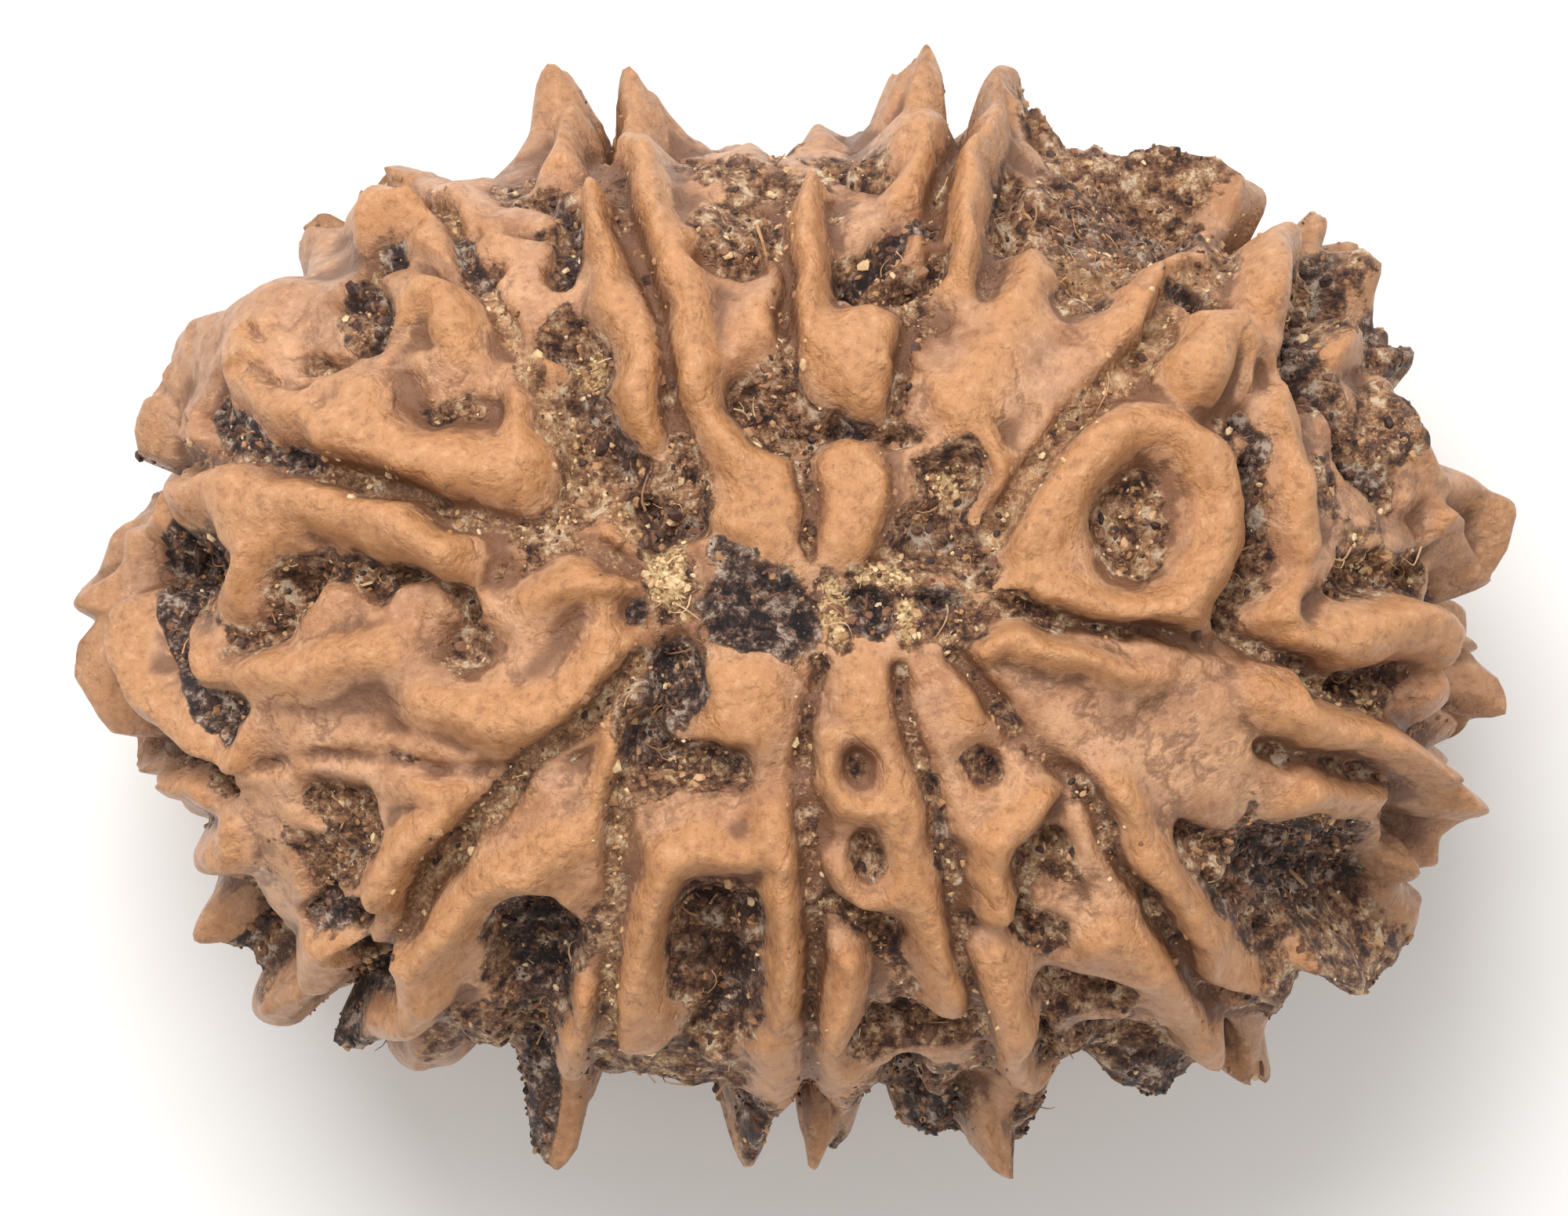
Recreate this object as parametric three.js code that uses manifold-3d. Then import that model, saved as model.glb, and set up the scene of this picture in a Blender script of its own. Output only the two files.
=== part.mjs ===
// A twelve mukhi rudraksha: the furrowed, spiny stone of the fruit, lying on one pole.
// Millimetres, +Z up along the line from pole to pole, +X along the longer side.
import * as THREE from 'three';
import { mergeVertices } from 'three/addons/utils/BufferGeometryUtils.js';
import Module from 'manifold-3d';

// Driving dimensions, in millimetres
const OVERALL_LENGTH = 27.6;
const OVERALL_WIDTH = 21.6;
const OVERALL_HEIGHT = 19.0;
const BODY_LENGTH = 23.1;
const BODY_WIDTH = 16.5;
const BODY_DEPTH = 16.2;
const REST_SPOT_DEPTH = 9.2;

// The features are drawn on a plan seen from the upper pole, in steps of this many millimetres.
// Each feature point is x, y and the height above the furrow floors, all in steps.
const STEP = 0.15;
const PLAN_POLE = [3, -1];
const BODY_RADII = [BODY_LENGTH, BODY_WIDTH, BODY_DEPTH].map((size) => size / 2 / STEP);
const REST_LEVEL = -REST_SPOT_DEPTH / STEP;
const ROUNDNESS = 2.35;

// Surface rules, in steps
const SURFACE_DETAIL = 19;
const SKIN_HEIGHT = 7.5;
const NARROWEST_RIDGE = 2.8;
const RIDGE_SLOPE = 1.5;
const BLEND = 2;
const FURROW_SLOPE = 1.6;
const FURROW_BLEND = 3;
const FURROW_WIDENING = 1;
const PIT_FLOOR_EDGE = 0.4;
const PIT_RIM_EDGE = 1.25;
const PIT_LENGTH_BELOW = 2;
const REST_PAD_RADIUS = 20;
const REST_PAD_HEIGHT = 9.5;
const REST_PAD_SLOPE = 0.8;
const UNDERSIDE_WANDER = 5;
const WANDER_TURNS_X = [0.21, 0.13];
const WANDER_TURNS_Y = [0.17, -0.11];
const UNDERSIDE_LOWERING = 0.12;
const PLACING_ROUNDS = 30;
const SKIN_COLOUR = 0xc4936b;

// The twelve furrows: name, half width of the floor, and the course from the pole outward
const FURROWS = [
  ['east', 0.6, [[28, 0.5], [38, -2], [46, -3.5], [54, -4.5], [64, -7.5], [80, -13.5], [86, -18.5]]],
  ['north_east', 1.6, [[27, 9], [30, 14], [36, 22], [43, 27], [49, 35], [53, 39], [62, 46]]],
  ['north_3', 0.6, [[13, 6], [15, 14], [16.5, 28], [18.5, 36], [20.5, 45], [23.5, 59]]],
  ['north_2', 0.5, [[4.5, 7], [4, 14], [1.5, 32], [0.5, 42], [1.5, 55]]],
  ['north_1', 0.5, [[-8, 9], [-10, 16], [-14, 31], [-18, 46], [-21, 56]]],
  ['north_west', 0.9, [[-17, 8], [-24, 16], [-33, 34], [-38, 42], [-46, 45], [-57, 38.5]]],
  ['west', 1.1, [[-17, 4], [-24, 7.5], [-40, 12], [-50, 15], [-60, 16.5], [-78.5, 16.5]]],
  ['south_west', 1.2, [[-16, -6], [-24, -13.5], [-36, -25], [-44, -35], [-57, -51]]],
  ['south_0', 1.0, [[-16, -17], [-19.5, -30], [-20.5, -46], [-21, -60]]],
  ['south_1', 0.5, [[5, -7], [3.5, -20], [5, -38], [5, -46], [3, -60]]],
  ['south_2', 0.6, [[16, -7], [19.5, -21], [22, -34], [26, -48], [26, -58]]],
  ['south_east', 0.8, [[22, -5], [33, -16], [38, -21], [46, -35], [58, -52]]],
];

// The ridges, crests and spines of each face: name, half width, and the course along the top
const RIDGES = [
  ['nw_rim', 4, [[-57, 38, 8], [-62, 38.5, 11], [-67, 38.5, 13], [-75, 34, 12]]],
  ['nw_shoulder', 3.5, [[-76, 31, 12], [-78.5, 27, 13], [-80, 20, 12]]],
  ['nw_back', 5, [[-68, 36, 12], [-70, 26, 11]]],
  ['nw_lower_rim', 3.2, [[-66, 23, 11], [-54, 22, 12], [-42, 18, 13], [-32, 17, 13]]],
  ['nw_right_rim', 2.5, [[-31.5, 18, 13], [-32, 29, 9]]],
  ['nw_ear', 2.4, [[-48.5, 37, 10], [-46.5, 40.5, 13], [-41, 37, 13], [-42, 30.5, 9]]],
  ['nw_spine', 2.6, [[-56.5, 41, 6], [-57.5, 47.5, 15]]],
  ['nnw_lobe', 3, [[-50.5, 48, 9], [-51, 53.5, 14], [-45, 54.5, 13], [-38, 51.5, 8]]],
  ['nnw_spine', 3.4, [[-30, 55, 9], [-29.5, 67.5, 18]]],
  ['nnw_shoulder', 3, [[-25, 64, 15], [-23.5, 59, 12]]],
  ['nnw_edge', 2.6, [[-23.5, 53, 13], [-21, 41, 11], [-17, 26, 12], [-14, 19, 8]]],
  ['nnw_pole_nose', 2.4, [[-24, 10, 8], [-20, 8.5, 9], [-17.5, 6.5, 7]]],
  ['n_spine', 3, [[-18, 57, 10], [-18.5, 67.5, 17]]],
  ['n_spine_side', 3, [[-14.5, 64, 15], [-11, 60, 12]]],
  ['n_crest', 2.4, [[-16, 57, 14], [-13, 46, 13], [-10.5, 35, 12], [-8, 24, 12], [-3, 17, 10]]],
  ['n_small_spine', 2.6, [[-3, 54, 9], [-3, 60, 14]]],
  ['n_right_edge', 3, [[-1.5, 47, 9], [-1.5, 32, 9]]],
  ['n_pole_block', 4, [[-3, 15, 9], [1, 8, 8]]],
  ['nne_crest', 2.4, [[5, 60.5, 14], [4, 50, 12.5], [4.5, 39, 11.5], [6, 28, 10]]],
  ['nne_small_spine', 2.5, [[6, 54, 9], [6.3, 60.5, 14]]],
  ['nne_spine', 3, [[16, 56, 10], [18.8, 70.3, 19]]],
  ['nne_inner', 2.4, [[18.5, 62, 15], [17, 50, 10]]],
  ['nne_block', 4, [[7, 33, 12], [15, 33, 12]]],
  ['nne_pole_block', 4.3, [[10, 16, 9], [10, 10, 9]]],
  ['ne_finger', 2, [[29.5, 67, 16], [25.5, 57, 14], [25, 47, 13], [23, 41, 9]]],
  ['ne_spine', 2.6, [[30, 58, 10], [30, 68, 17], [34, 66.5, 15], [35.5, 62, 12]]],
  ['ne_rim', 2.4, [[37, 56.5, 9], [44, 57, 10], [50, 59.5, 13], [60.5, 51, 11]]],
  ['ne_web', 4, [[30, 44, 9], [31, 38, 10], [24, 28, 10]]],
  ['ne_blade', 2.4, [[52, 43.5, 11], [44.5, 35.5, 10], [36, 29, 8]]],
  ['ne_pole_curl', 1.8, [[23, 25, 10], [29, 19.5, 10], [27, 12.5, 8]]],
  ['e_ring_left', 2.6, [[29.5, 6, 9], [33, 11, 11], [41, 20, 11.5]]],
  ['e_ring_top', 2.6, [[41, 20, 11.5], [51, 22.5, 12.5], [55, 19.5, 12]]],
  ['e_ring_right', 2.6, [[55, 19.5, 12], [57, 13, 12], [54, 2, 13], [51, -1, 13]]],
  ['e_ring_bottom', 2.2, [[51, -1, 13], [45, -0.5, 11.5], [32, 3, 9.5]]],
  ['e_hook', 2.6, [[54.5, 31, 15], [60, 36.5, 14], [63.5, 28, 12], [66.5, 12, 10]]],
  ['ene_rim', 2.6, [[63.5, 41, 13], [72, 50.5, 14], [78.5, 41, 11], [79.5, 37, 9]]],
  ['ene_knob', 2.4, [[82, 34, 12], [82, 31, 12]]],
  ['e_upper', 2.4, [[76, 24, 8], [85, 15.5, 12], [94, 13, 15]]],
  ['e_nose', 2.2, [[94, 12, 15], [92, 5.5, 11], [86, 11, 11]]],
  ['e_wave', 2.6, [[64, -1.5, 13], [71.5, -5, 12], [79.5, -2, 12], [86.5, -3.5, 13], [83.5, -10, 10]]],
  ['e_knobs', 3, [[90.5, -6, 12], [93.5, -13.5, 14]]],
  ['ese_bright', 2.4, [[27, -5, 9], [36, -5.5, 11.5], [48.5, -8.5, 10]]],
  ['ese_blade', 2.4, [[57, -12, 9], [68, -13, 13], [80, -18.5, 14], [90.5, -26.5, 13], [82, -33.5, 9]]],
  ['ese_left', 2.4, [[42, -19, 9], [46.5, -30, 12], [55, -41.5, 13], [59, -44.5, 13]]],
  ['ese_low', 2.6, [[80, -38, 11], [76, -45, 12]]],
  ['se_pole_block', 3.5, [[21, -9, 8], [25, -12, 9.5]]],
  ['se_boot', 2.2, [[33.5, -23.5, 11], [28.5, -30, 12], [29, -38.5, 12]]],
  ['se_finger', 2.2, [[29, -43, 10], [30.5, -57, 12]]],
  ['se_blade', 2.8, [[35, -37, 9], [46, -44, 11.5], [51, -48.5, 11.5]]],
  ['se_knob_finger', 3, [[61.5, -48, 9], [62, -58.5, 14]]],
  ['se_ball', 5, [[49.5, -61.5, 13], [49.5, -60, 13]]],
  ['se_spine', 3, [[34, -60, 11], [30, -72, 18]]],
  ['sse_pole_block', 4.5, [[11, -7, 8.5], [11, -12, 10]]],
  ['sse_frame', 2.4, [[6.5, -16, 10], [9, -25, 10.5], [16, -25.5, 10.5]]],
  ['sse_web', 3, [[15, -20, 9.5], [18, -36, 10], [23, -49, 10]]],
  ['sse_finger', 2.2, [[7, -41, 9], [9.5, -50, 12], [8.5, -55, 12]]],
  ['sse_spine', 2.6, [[8, -58, 11], [5.5, -71, 17]]],
  ['sse_knob', 2.6, [[20, -60, 10], [20, -65, 14]]],
  ['s_pole_block', 5, [[-4, -9, 8.5], [-3, -14, 9]]],
  ['s_arch_left', 2.4, [[-3, -31, 11], [-13.5, -32.5, 12], [-17, -46, 12], [-19, -54, 11]]],
  ['s_arch_right', 2.2, [[0.5, -27, 10.5], [2, -40, 12], [0, -52, 12]]],
  ['s_spine', 2.5, [[0.5, -57, 12], [-2.5, -69, 16]]],
  ['sw_edge', 2.2, [[-16.5, -10, 8], [-20.5, -20, 10], [-21, -27, 10]]],
  ['sw_diagonal', 2.8, [[-24, -29, 10.5], [-35, -35, 12.5], [-47, -45.5, 14], [-45.5, -49, 13]]],
  ['sw_knob', 4.5, [[-53, -54, 13], [-44, -57.5, 13]]],
  ['sw_spine', 3.2, [[-26, -58, 12], [-26.5, -68, 16]]],
  ['w_rim_upper', 3, [[-88, 2.5, 14], [-77.5, 15, 12], [-60, 13.5, 12], [-42, 8, 14.5]]],
  ['w_cross', 3, [[-68, 11, 11], [-69, 0, 10.5], [-72, -5, 10]]],
  ['w_rim_left', 3.4, [[-83, -1, 12.5], [-81, -11, 13], [-69, -18, 11]]],
  ['w_back', 3, [[-87.5, -3, 12], [-85, -14, 12], [-73, -23.5, 9]]],
  ['w_band', 2.6, [[-71, -8, 10.5], [-50, -5.5, 10.5]]],
  ['w_nose', 2.4, [[-31, 1.5, 10], [-21, 2.8, 12]]],
  ['w_scoop', 3, [[-20.5, -1, 10], [-25, -10, 12], [-35, -15.5, 12.5], [-45, -11, 10]]],
  ['wsw_blade', 2.4, [[-47, -21.5, 9], [-41, -24, 12], [-47, -33, 13], [-51, -36.5, 13]]],
  ['wsw_edge', 2.2, [[-69, -28, 9], [-70, -31, 10]]],
  ['wsw_spike', 2.4, [[-69.5, -43, 12], [-63.5, -51.5, 15], [-57, -42, 12]]],
];

// The pits: centre, half sizes and depth
const PITS = [
  [46, 10, 5.5, 8, 9],
  [-39, -5, 4.2, 4, 7],
  [-77, 3, 7, 6.5, 8],
  [-56, 3, 8, 3.5, 5],
  [-55, -28, 5, 6.5, 6],
  [-42, 25, 6.5, 4, 5],
  [-24, 31, 4.5, 4.5, 6],
  [0, 25, 6, 5, 5],
  [12, 42, 5, 4, 6],
  [46, 48, 13, 8, 7],
  [21, 13, 6, 6.5, 5],
  [71, 36, 5.5, 9, 8],
  [73, 20, 4, 6, 7],
  [68, -30, 13, 8, 10],
  [54, -29, 3, 3, 4],
  [-7, -44, 6.5, 9, 9],
  [-29, -44, 5.5, 9, 9],
  [-65, -39, 4, 5, 6],
  [-50, -45, 3, 4, 6],
  [-10, -17, 6, 4, 5],
  [18, -53, 7, 5, 7],
  [43, -54, 6, 5, 7],
];
const POLE_PIT = [-1.5, -1, 8, 7, 4];

// The smooth convex body that carries the skin

function bodyPoint(direction) {
  const powers = direction.map((value) => Math.abs(value) ** ROUNDNESS);
  const size = powers.reduce((sum, value) => sum + value, 0) ** (1 / ROUNDNESS);
  return direction.map((value, axis) => (BODY_RADII[axis] * value) / size);
}

function bodyNormal(point) {
  const slopes = point.map((value, axis) => {
    const share = Math.abs(value) / BODY_RADII[axis];
    return (Math.sign(value) * share ** (ROUNDNESS - 1)) / BODY_RADII[axis];
  });
  const size = Math.hypot(...slopes);
  return slopes.map((value) => value / size);
}

function liftFromPlan(x, y) {
  const shares = [Math.abs(x) / BODY_RADII[0], Math.abs(y) / BODY_RADII[1]];
  const spread = shares[0] ** ROUNDNESS + shares[1] ** ROUNDNESS;
  if (spread >= 1) {
    const shrink = spread ** (-1 / ROUNDNESS);
    return [x * shrink, y * shrink, 0];
  }
  return [x, y, BODY_RADII[2] * (1 - spread) ** (1 / ROUNDNESS)];
}

// The body point under a plan point that stands a given height proud of it.
// A point past the silhouette sits on the widest line, with the height that reaches it.
function placeOnBody(planX, planY, height) {
  const x = planX - PLAN_POLE[0];
  const y = planY - PLAN_POLE[1];
  let foot = liftFromPlan(x, y);
  let reach = height;
  for (let round = 0; round < PLACING_ROUNDS; round += 1) {
    const normal = bodyNormal(foot);
    if (foot[2] === 0) {
      reach = Math.max(height, (x - foot[0]) * normal[0] + (y - foot[1]) * normal[1]);
    }
    foot = liftFromPlan(x - reach * normal[0], y - reach * normal[1]);
  }
  return { foot, height: reach };
}

// The underside repeats the upper side's growth, carried a little aside and never the same twice.
function mirrorBelow({ foot, height }) {
  const depth = foot[2] / BODY_RADII[2];
  const sway = UNDERSIDE_WANDER * depth;
  const turn = ([perX, perY]) => perX * foot[0] + perY * foot[1];
  const x = foot[0] + sway * Math.sin(turn(WANDER_TURNS_X));
  const y = foot[1] + sway * Math.cos(turn(WANDER_TURNS_Y));
  const lifted = liftFromPlan(x, y);
  return {
    foot: [lifted[0], lifted[1], -lifted[2]],
    height: height * (1 - UNDERSIDE_LOWERING * depth),
  };
}

function bothSides(courses, furrow) {
  return courses.flatMap(([, halfWidth, points]) => {
    const upper = points.map(([x, y, height]) => placeOnBody(x, y, furrow ? 0 : height));
    return [{ halfWidth, points: upper }, { halfWidth, points: upper.map(mirrorBelow) }];
  });
}

// Surface height above the body

function distanceToCourse(spot, points) {
  let best = { distance: Infinity, height: 0 };
  for (let index = 0; index + 1 < points.length; index += 1) {
    const start = points[index];
    const end = points[index + 1];
    const along = end.foot.map((value, axis) => value - start.foot[axis]);
    const toSpot = spot.map((value, axis) => value - start.foot[axis]);
    const lengthSquared = along.reduce((sum, value) => sum + value * value, Number.EPSILON);
    const dot = along.reduce((sum, value, axis) => sum + value * toSpot[axis], 0);
    const share = THREE.MathUtils.clamp(dot / lengthSquared, 0, 1);
    const distance = Math.hypot(...toSpot.map((value, axis) => value - share * along[axis]));
    if (distance < best.distance) {
      best = { distance, height: THREE.MathUtils.lerp(start.height, end.height, share) };
    }
  }
  return best;
}

function smoothMax(a, b, blend) {
  const overlap = Math.max(blend - Math.abs(a - b), 0) / blend;
  return Math.max(a, b) + (overlap * overlap * blend) / 4;
}

function smoothMin(a, b, blend) {
  return -smoothMax(-a, -b, blend);
}

function ridgeProfile(distance, halfWidth, top) {
  const width = Math.max(halfWidth, NARROWEST_RIDGE);
  if (distance < width) {
    return top - (RIDGE_SLOPE * distance * distance) / (2 * width);
  }
  return top - RIDGE_SLOPE * (distance - width / 2);
}

function pitDepth(spot, [centre, halfX, halfY, depth]) {
  const halfZ = PIT_LENGTH_BELOW * Math.max(halfX, halfY);
  const across = Math.hypot(
    (spot[0] - centre[0]) / halfX,
    (spot[1] - centre[1]) / halfY,
    (spot[2] - centre[2]) / halfZ,
  );
  return depth * (1 - THREE.MathUtils.smoothstep(across, PIT_FLOOR_EDGE, PIT_RIM_EDGE));
}

function placePit([x, y, halfX, halfY, depth]) {
  return [placeOnBody(x, y, SKIN_HEIGHT), halfX, halfY, depth];
}

function buildFeatures() {
  const upperPits = PITS.map(placePit);
  const lowerPits = upperPits.map(([place, ...rest]) => [mirrorBelow(place), ...rest]);
  const pits = [...upperPits, ...lowerPits, placePit(POLE_PIT)];
  return {
    furrows: bothSides(FURROWS, true),
    ridges: bothSides(RIDGES, false),
    pits: pits.map(([place, ...rest]) => [place.foot, ...rest]),
  };
}

function skinHeight(spot, { furrows, ridges, pits }) {
  let height = SKIN_HEIGHT;
  for (const ridge of ridges) {
    const near = distanceToCourse(spot, ridge.points);
    height = smoothMax(height, ridgeProfile(near.distance, ridge.halfWidth, near.height), BLEND);
  }
  for (const pit of pits) {
    height -= pitDepth(spot, pit);
  }
  for (const furrow of furrows) {
    const { distance } = distanceToCourse(spot, furrow.points);
    const floorEdge = furrow.halfWidth + FURROW_WIDENING;
    const wall = FURROW_SLOPE * Math.max(0, distance - floorEdge);
    height = smoothMin(height, wall, FURROW_BLEND);
  }
  if (spot[2] < 0) {
    const fromPole = Math.hypot(spot[0], spot[1]);
    const pad = REST_PAD_HEIGHT - REST_PAD_SLOPE * Math.max(0, fromPole - REST_PAD_RADIUS);
    height = smoothMax(height, pad, BLEND);
  }
  return height;
}

// Solids

function closedGeometry(geometry) {
  geometry.deleteAttribute('normal');
  geometry.deleteAttribute('uv');
  return mergeVertices(geometry);
}

function grownSurface() {
  const geometry = closedGeometry(new THREE.IcosahedronGeometry(1, SURFACE_DETAIL));
  const features = buildFeatures();
  const position = geometry.getAttribute('position');
  for (let index = 0; index < position.count; index += 1) {
    const direction = [position.getX(index), position.getY(index), position.getZ(index)];
    const spot = bodyPoint(direction);
    const normal = bodyNormal(spot);
    const height = skinHeight(spot, features);
    position.setXYZ(index, ...spot.map((value, axis) => value + height * normal[axis]));
  }
  return geometry;
}

const wasm = await Module();
wasm.setup();

function toSolid(geometry) {
  return new wasm.Manifold(new wasm.Mesh({
    numProp: 3,
    vertProperties: new Float32Array(geometry.getAttribute('position').array),
    triVerts: new Uint32Array(geometry.getIndex().array),
  }));
}

function toGeometry(solid) {
  const { vertProperties, triVerts } = solid.getMesh();
  const geometry = new THREE.BufferGeometry();
  geometry.setAttribute('position', new THREE.BufferAttribute(vertProperties, 3));
  geometry.setIndex(new THREE.BufferAttribute(triVerts, 1));
  return geometry;
}

function flattenRestSpot(geometry) {
  const size = 4 * BODY_RADII[0];
  const below = new THREE.BoxGeometry(size, size, size);
  below.translate(0, 0, REST_LEVEL - size / 2);
  return toGeometry(toSolid(geometry).subtract(toSolid(closedGeometry(below))));
}

// Brings the surface to its overall size, centred over the rest spot, with the spot at z = 0.
function fitToOverallSize(geometry) {
  geometry.computeBoundingBox();
  const centre = geometry.boundingBox.getCenter(new THREE.Vector3());
  const size = geometry.boundingBox.getSize(new THREE.Vector3());
  geometry.translate(-centre.x, -centre.y, -geometry.boundingBox.min.z);
  geometry.scale(OVERALL_LENGTH / size.x, OVERALL_WIDTH / size.y, OVERALL_HEIGHT / size.z);
  return geometry;
}

function makeStone() {
  const material = new THREE.MeshStandardMaterial({
    color: SKIN_COLOUR,
    roughness: 0.55,
    metalness: 0,
  });
  const geometry = fitToOverallSize(flattenRestSpot(grownSurface()));
  geometry.computeVertexNormals();
  const stone = new THREE.Mesh(geometry, material);
  stone.name = 'rudraksha_stone';
  return stone;
}

const rudraksha = new THREE.Group();
rudraksha.add(makeStone());

export default rudraksha;
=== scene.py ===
# %% [markdown]
# A twelve mukhi rudraksha is the hard stone of a blue marble-tree fruit. Twelve furrows run from
# pole to pole, and each face between two furrows carries ridges, knobs, spines and pits that still
# hold dried pulp. It lies on one pole, and the camera looks straight down on the other one.
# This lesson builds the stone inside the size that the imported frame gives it.

import bpy
import numpy as np
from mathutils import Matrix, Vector


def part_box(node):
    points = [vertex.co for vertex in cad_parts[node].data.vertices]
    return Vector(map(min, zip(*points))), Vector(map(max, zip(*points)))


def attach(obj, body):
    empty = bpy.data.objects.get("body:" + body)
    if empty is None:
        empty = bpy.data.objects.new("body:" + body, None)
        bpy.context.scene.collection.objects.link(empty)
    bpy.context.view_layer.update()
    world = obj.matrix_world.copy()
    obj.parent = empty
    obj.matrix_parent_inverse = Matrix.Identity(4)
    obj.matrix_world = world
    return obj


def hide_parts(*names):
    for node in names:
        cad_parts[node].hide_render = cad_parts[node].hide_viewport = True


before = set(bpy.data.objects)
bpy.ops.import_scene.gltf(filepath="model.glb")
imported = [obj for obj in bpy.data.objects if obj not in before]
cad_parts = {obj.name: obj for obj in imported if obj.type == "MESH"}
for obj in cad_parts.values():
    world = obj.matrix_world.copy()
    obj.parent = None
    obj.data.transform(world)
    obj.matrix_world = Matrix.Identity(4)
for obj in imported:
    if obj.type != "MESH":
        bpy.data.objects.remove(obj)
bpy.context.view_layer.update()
STONE_NODE = "rudraksha_stone"
BOX_LOW, BOX_HIGH = (np.array(corner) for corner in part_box(STONE_NODE))
print("stone box, millimetres", np.round((BOX_HIGH - BOX_LOW) * 1000, 2))

# %% [markdown]
# A natural surface is easiest to draw on a plan. The plan is seen from the upper pole, in steps of
# 0.15 mm, with a smooth convex body underneath. Every furrow, ridge and pit is a short list of points
# on that plan, and each ridge point says how far it stands out from the body. What stands nearer to
# the camera looks larger, so plan points are drawn in by as much as they rise above the widest line.

# %% The body under the skin
STEP = 0.00015
PLAN_POLE = np.array([3.0, -1.0])
RADII = np.array([0.0231, 0.0165, 0.0162]) / 2 / STEP
ROUNDNESS = 2.35
REST_LEVEL = -0.0092 / STEP
CAMERA_HEIGHT = 0.3
EYE = CAMERA_HEIGHT / STEP
SKIN_HEIGHT = 6
PLACING_ROUNDS = 30
TIP_EXTRA = 1.6


def lift(plan):
    """Body points of the upper side over plan points measured from the pole."""
    spread = ((np.abs(plan) / RADII[:2]) ** ROUNDNESS).sum(1)
    shrink = np.maximum(spread, 1) ** (-1 / ROUNDNESS)
    top = RADII[2] * np.clip(1 - spread, 0, None) ** (1 / ROUNDNESS)
    return np.column_stack([plan * shrink[:, None], top])


def on_body(points):
    """The same directions, brought on to the body."""
    size = ((np.abs(points) / RADII) ** ROUNDNESS).sum(1) ** (1 / ROUNDNESS)
    return points / size[:, None]


def outward(spots):
    slopes = np.sign(spots) * (np.abs(spots) / RADII) ** (ROUNDNESS - 1) / RADII
    return slopes / np.linalg.norm(slopes, axis=1)[:, None]


def place(points):
    """Body points and heights for plan points (x, y, height). Past the outline, the height grows to reach it.

    A spine's tip loses a little where the mesh rounds it off, so tips get that much extra."""
    points = np.array(points, float)
    seen = points[:, :2] - PLAN_POLE
    plan = seen.copy()
    reach = points[:, 2].copy()
    spots = lift(plan)
    for _ in range(PLACING_ROUNDS):
        normals = outward(spots)
        nearness = (spots[:, 2] + reach * normals[:, 2]) / EYE
        plan = seen * (1 - nearness)[:, None]
        rim = spots[:, 2] == 0
        out = ((plan - spots[:, :2]) * normals[:, :2]).sum(1)
        reach[rim] = np.maximum(points[rim, 2], out[rim])
        spots = lift(plan - reach[:, None] * normals[:, :2])
    reach[spots[:, 2] == 0] += TIP_EXTRA
    return spots, reach


print("body radii, steps", RADII)

# %% [markdown]
# The twelve mukhi lines come first, because everything else stands between them. Each has the half
# width of its floor, how full of crumbs it is (0 to 1) and its course from the pole outward. The
# north-east and north-west ones are wide and full, and the east one is a clean line.

# %% The twelve furrows
FURROWS = {
    "east": (0.5, 0.1, [
        (28, 0.5), (38, -2), (46, -3.5), (54, -4.5), (64, -7.5), (70, -9.5), (80, -13.5), (86, -18.5),
    ]),
    "north_east": (1.5, 1, [(27, 9), (30, 14), (36, 22), (43, 27), (49, 35), (53, 39), (58, 42), (62, 46)]),
    "north_3": (0.6, 0.3, [
        (13, 6), (15, 14), (15.5, 20), (16.5, 28), (18.5, 36), (20.5, 45), (21.5, 53), (23.5, 59),
    ]),
    "north_2": (0.4, 0.35, [(4.5, 7), (4, 14), (3, 19), (1.5, 32), (0.5, 42), (0.5, 50), (1.5, 55)]),
    "north_1": (0.4, 0.3, [
        (-8, 9), (-10, 16), (-12, 24), (-14, 31), (-15.5, 38), (-18, 46), (-20, 52), (-21, 56),
    ]),
    "north_west": (0.8, 1, [
        (-17, 8), (-24, 16), (-29, 24), (-33, 34), (-38, 42), (-46, 45), (-52, 44), (-57, 38.5),
    ]),
    "west": (1.0, 0.6, [
        (-17, 4), (-24, 7.5), (-30, 9.5), (-40, 12), (-50, 15), (-60, 16.5), (-70, 17), (-78.5, 16.5),
    ]),
    "south_west": (1.1, 0.8, [
        (-16, -6), (-20, -9), (-24, -13.5), (-29, -18), (-36, -25), (-40, -30), (-49, -41), (-57, -51),
    ]),
    "south_0": (0.9, 0.8, [
        (-16, -17), (-17.5, -23), (-19.5, -30), (-19.5, -38), (-20.5, -46), (-21, -54), (-21, -60),
    ]),
    "south_1": (0.4, 0.6, [
        (5, -7), (3.5, -13), (3.5, -20), (4.5, -30), (5, -38), (5, -46), (3.5, -54), (3, -60),
    ]),
    "south_2": (0.5, 0.6, [
        (16, -7), (17.5, -14), (19.5, -21), (21, -28), (22, -34), (24, -41), (26, -48), (26, -58),
    ]),
    "south_east": (0.7, 0.45, [
        (22, -5), (28, -11), (33, -16), (38, -21), (41, -28), (46, -35), (51, -41), (58, -52),
    ]),
}
CREASE = (0.2, [(-27, -17), (-33, -19.5), (-42, -17), (-52, -16), (-62, -18.5)])
print(len(FURROWS), "furrows")

# %% [markdown]
# Ridges are rounded crests with a half width. They follow the lobed, folded look of the stone: rims
# round hollows, blades beside the furrows, and spines that stick out past the outline.

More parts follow.
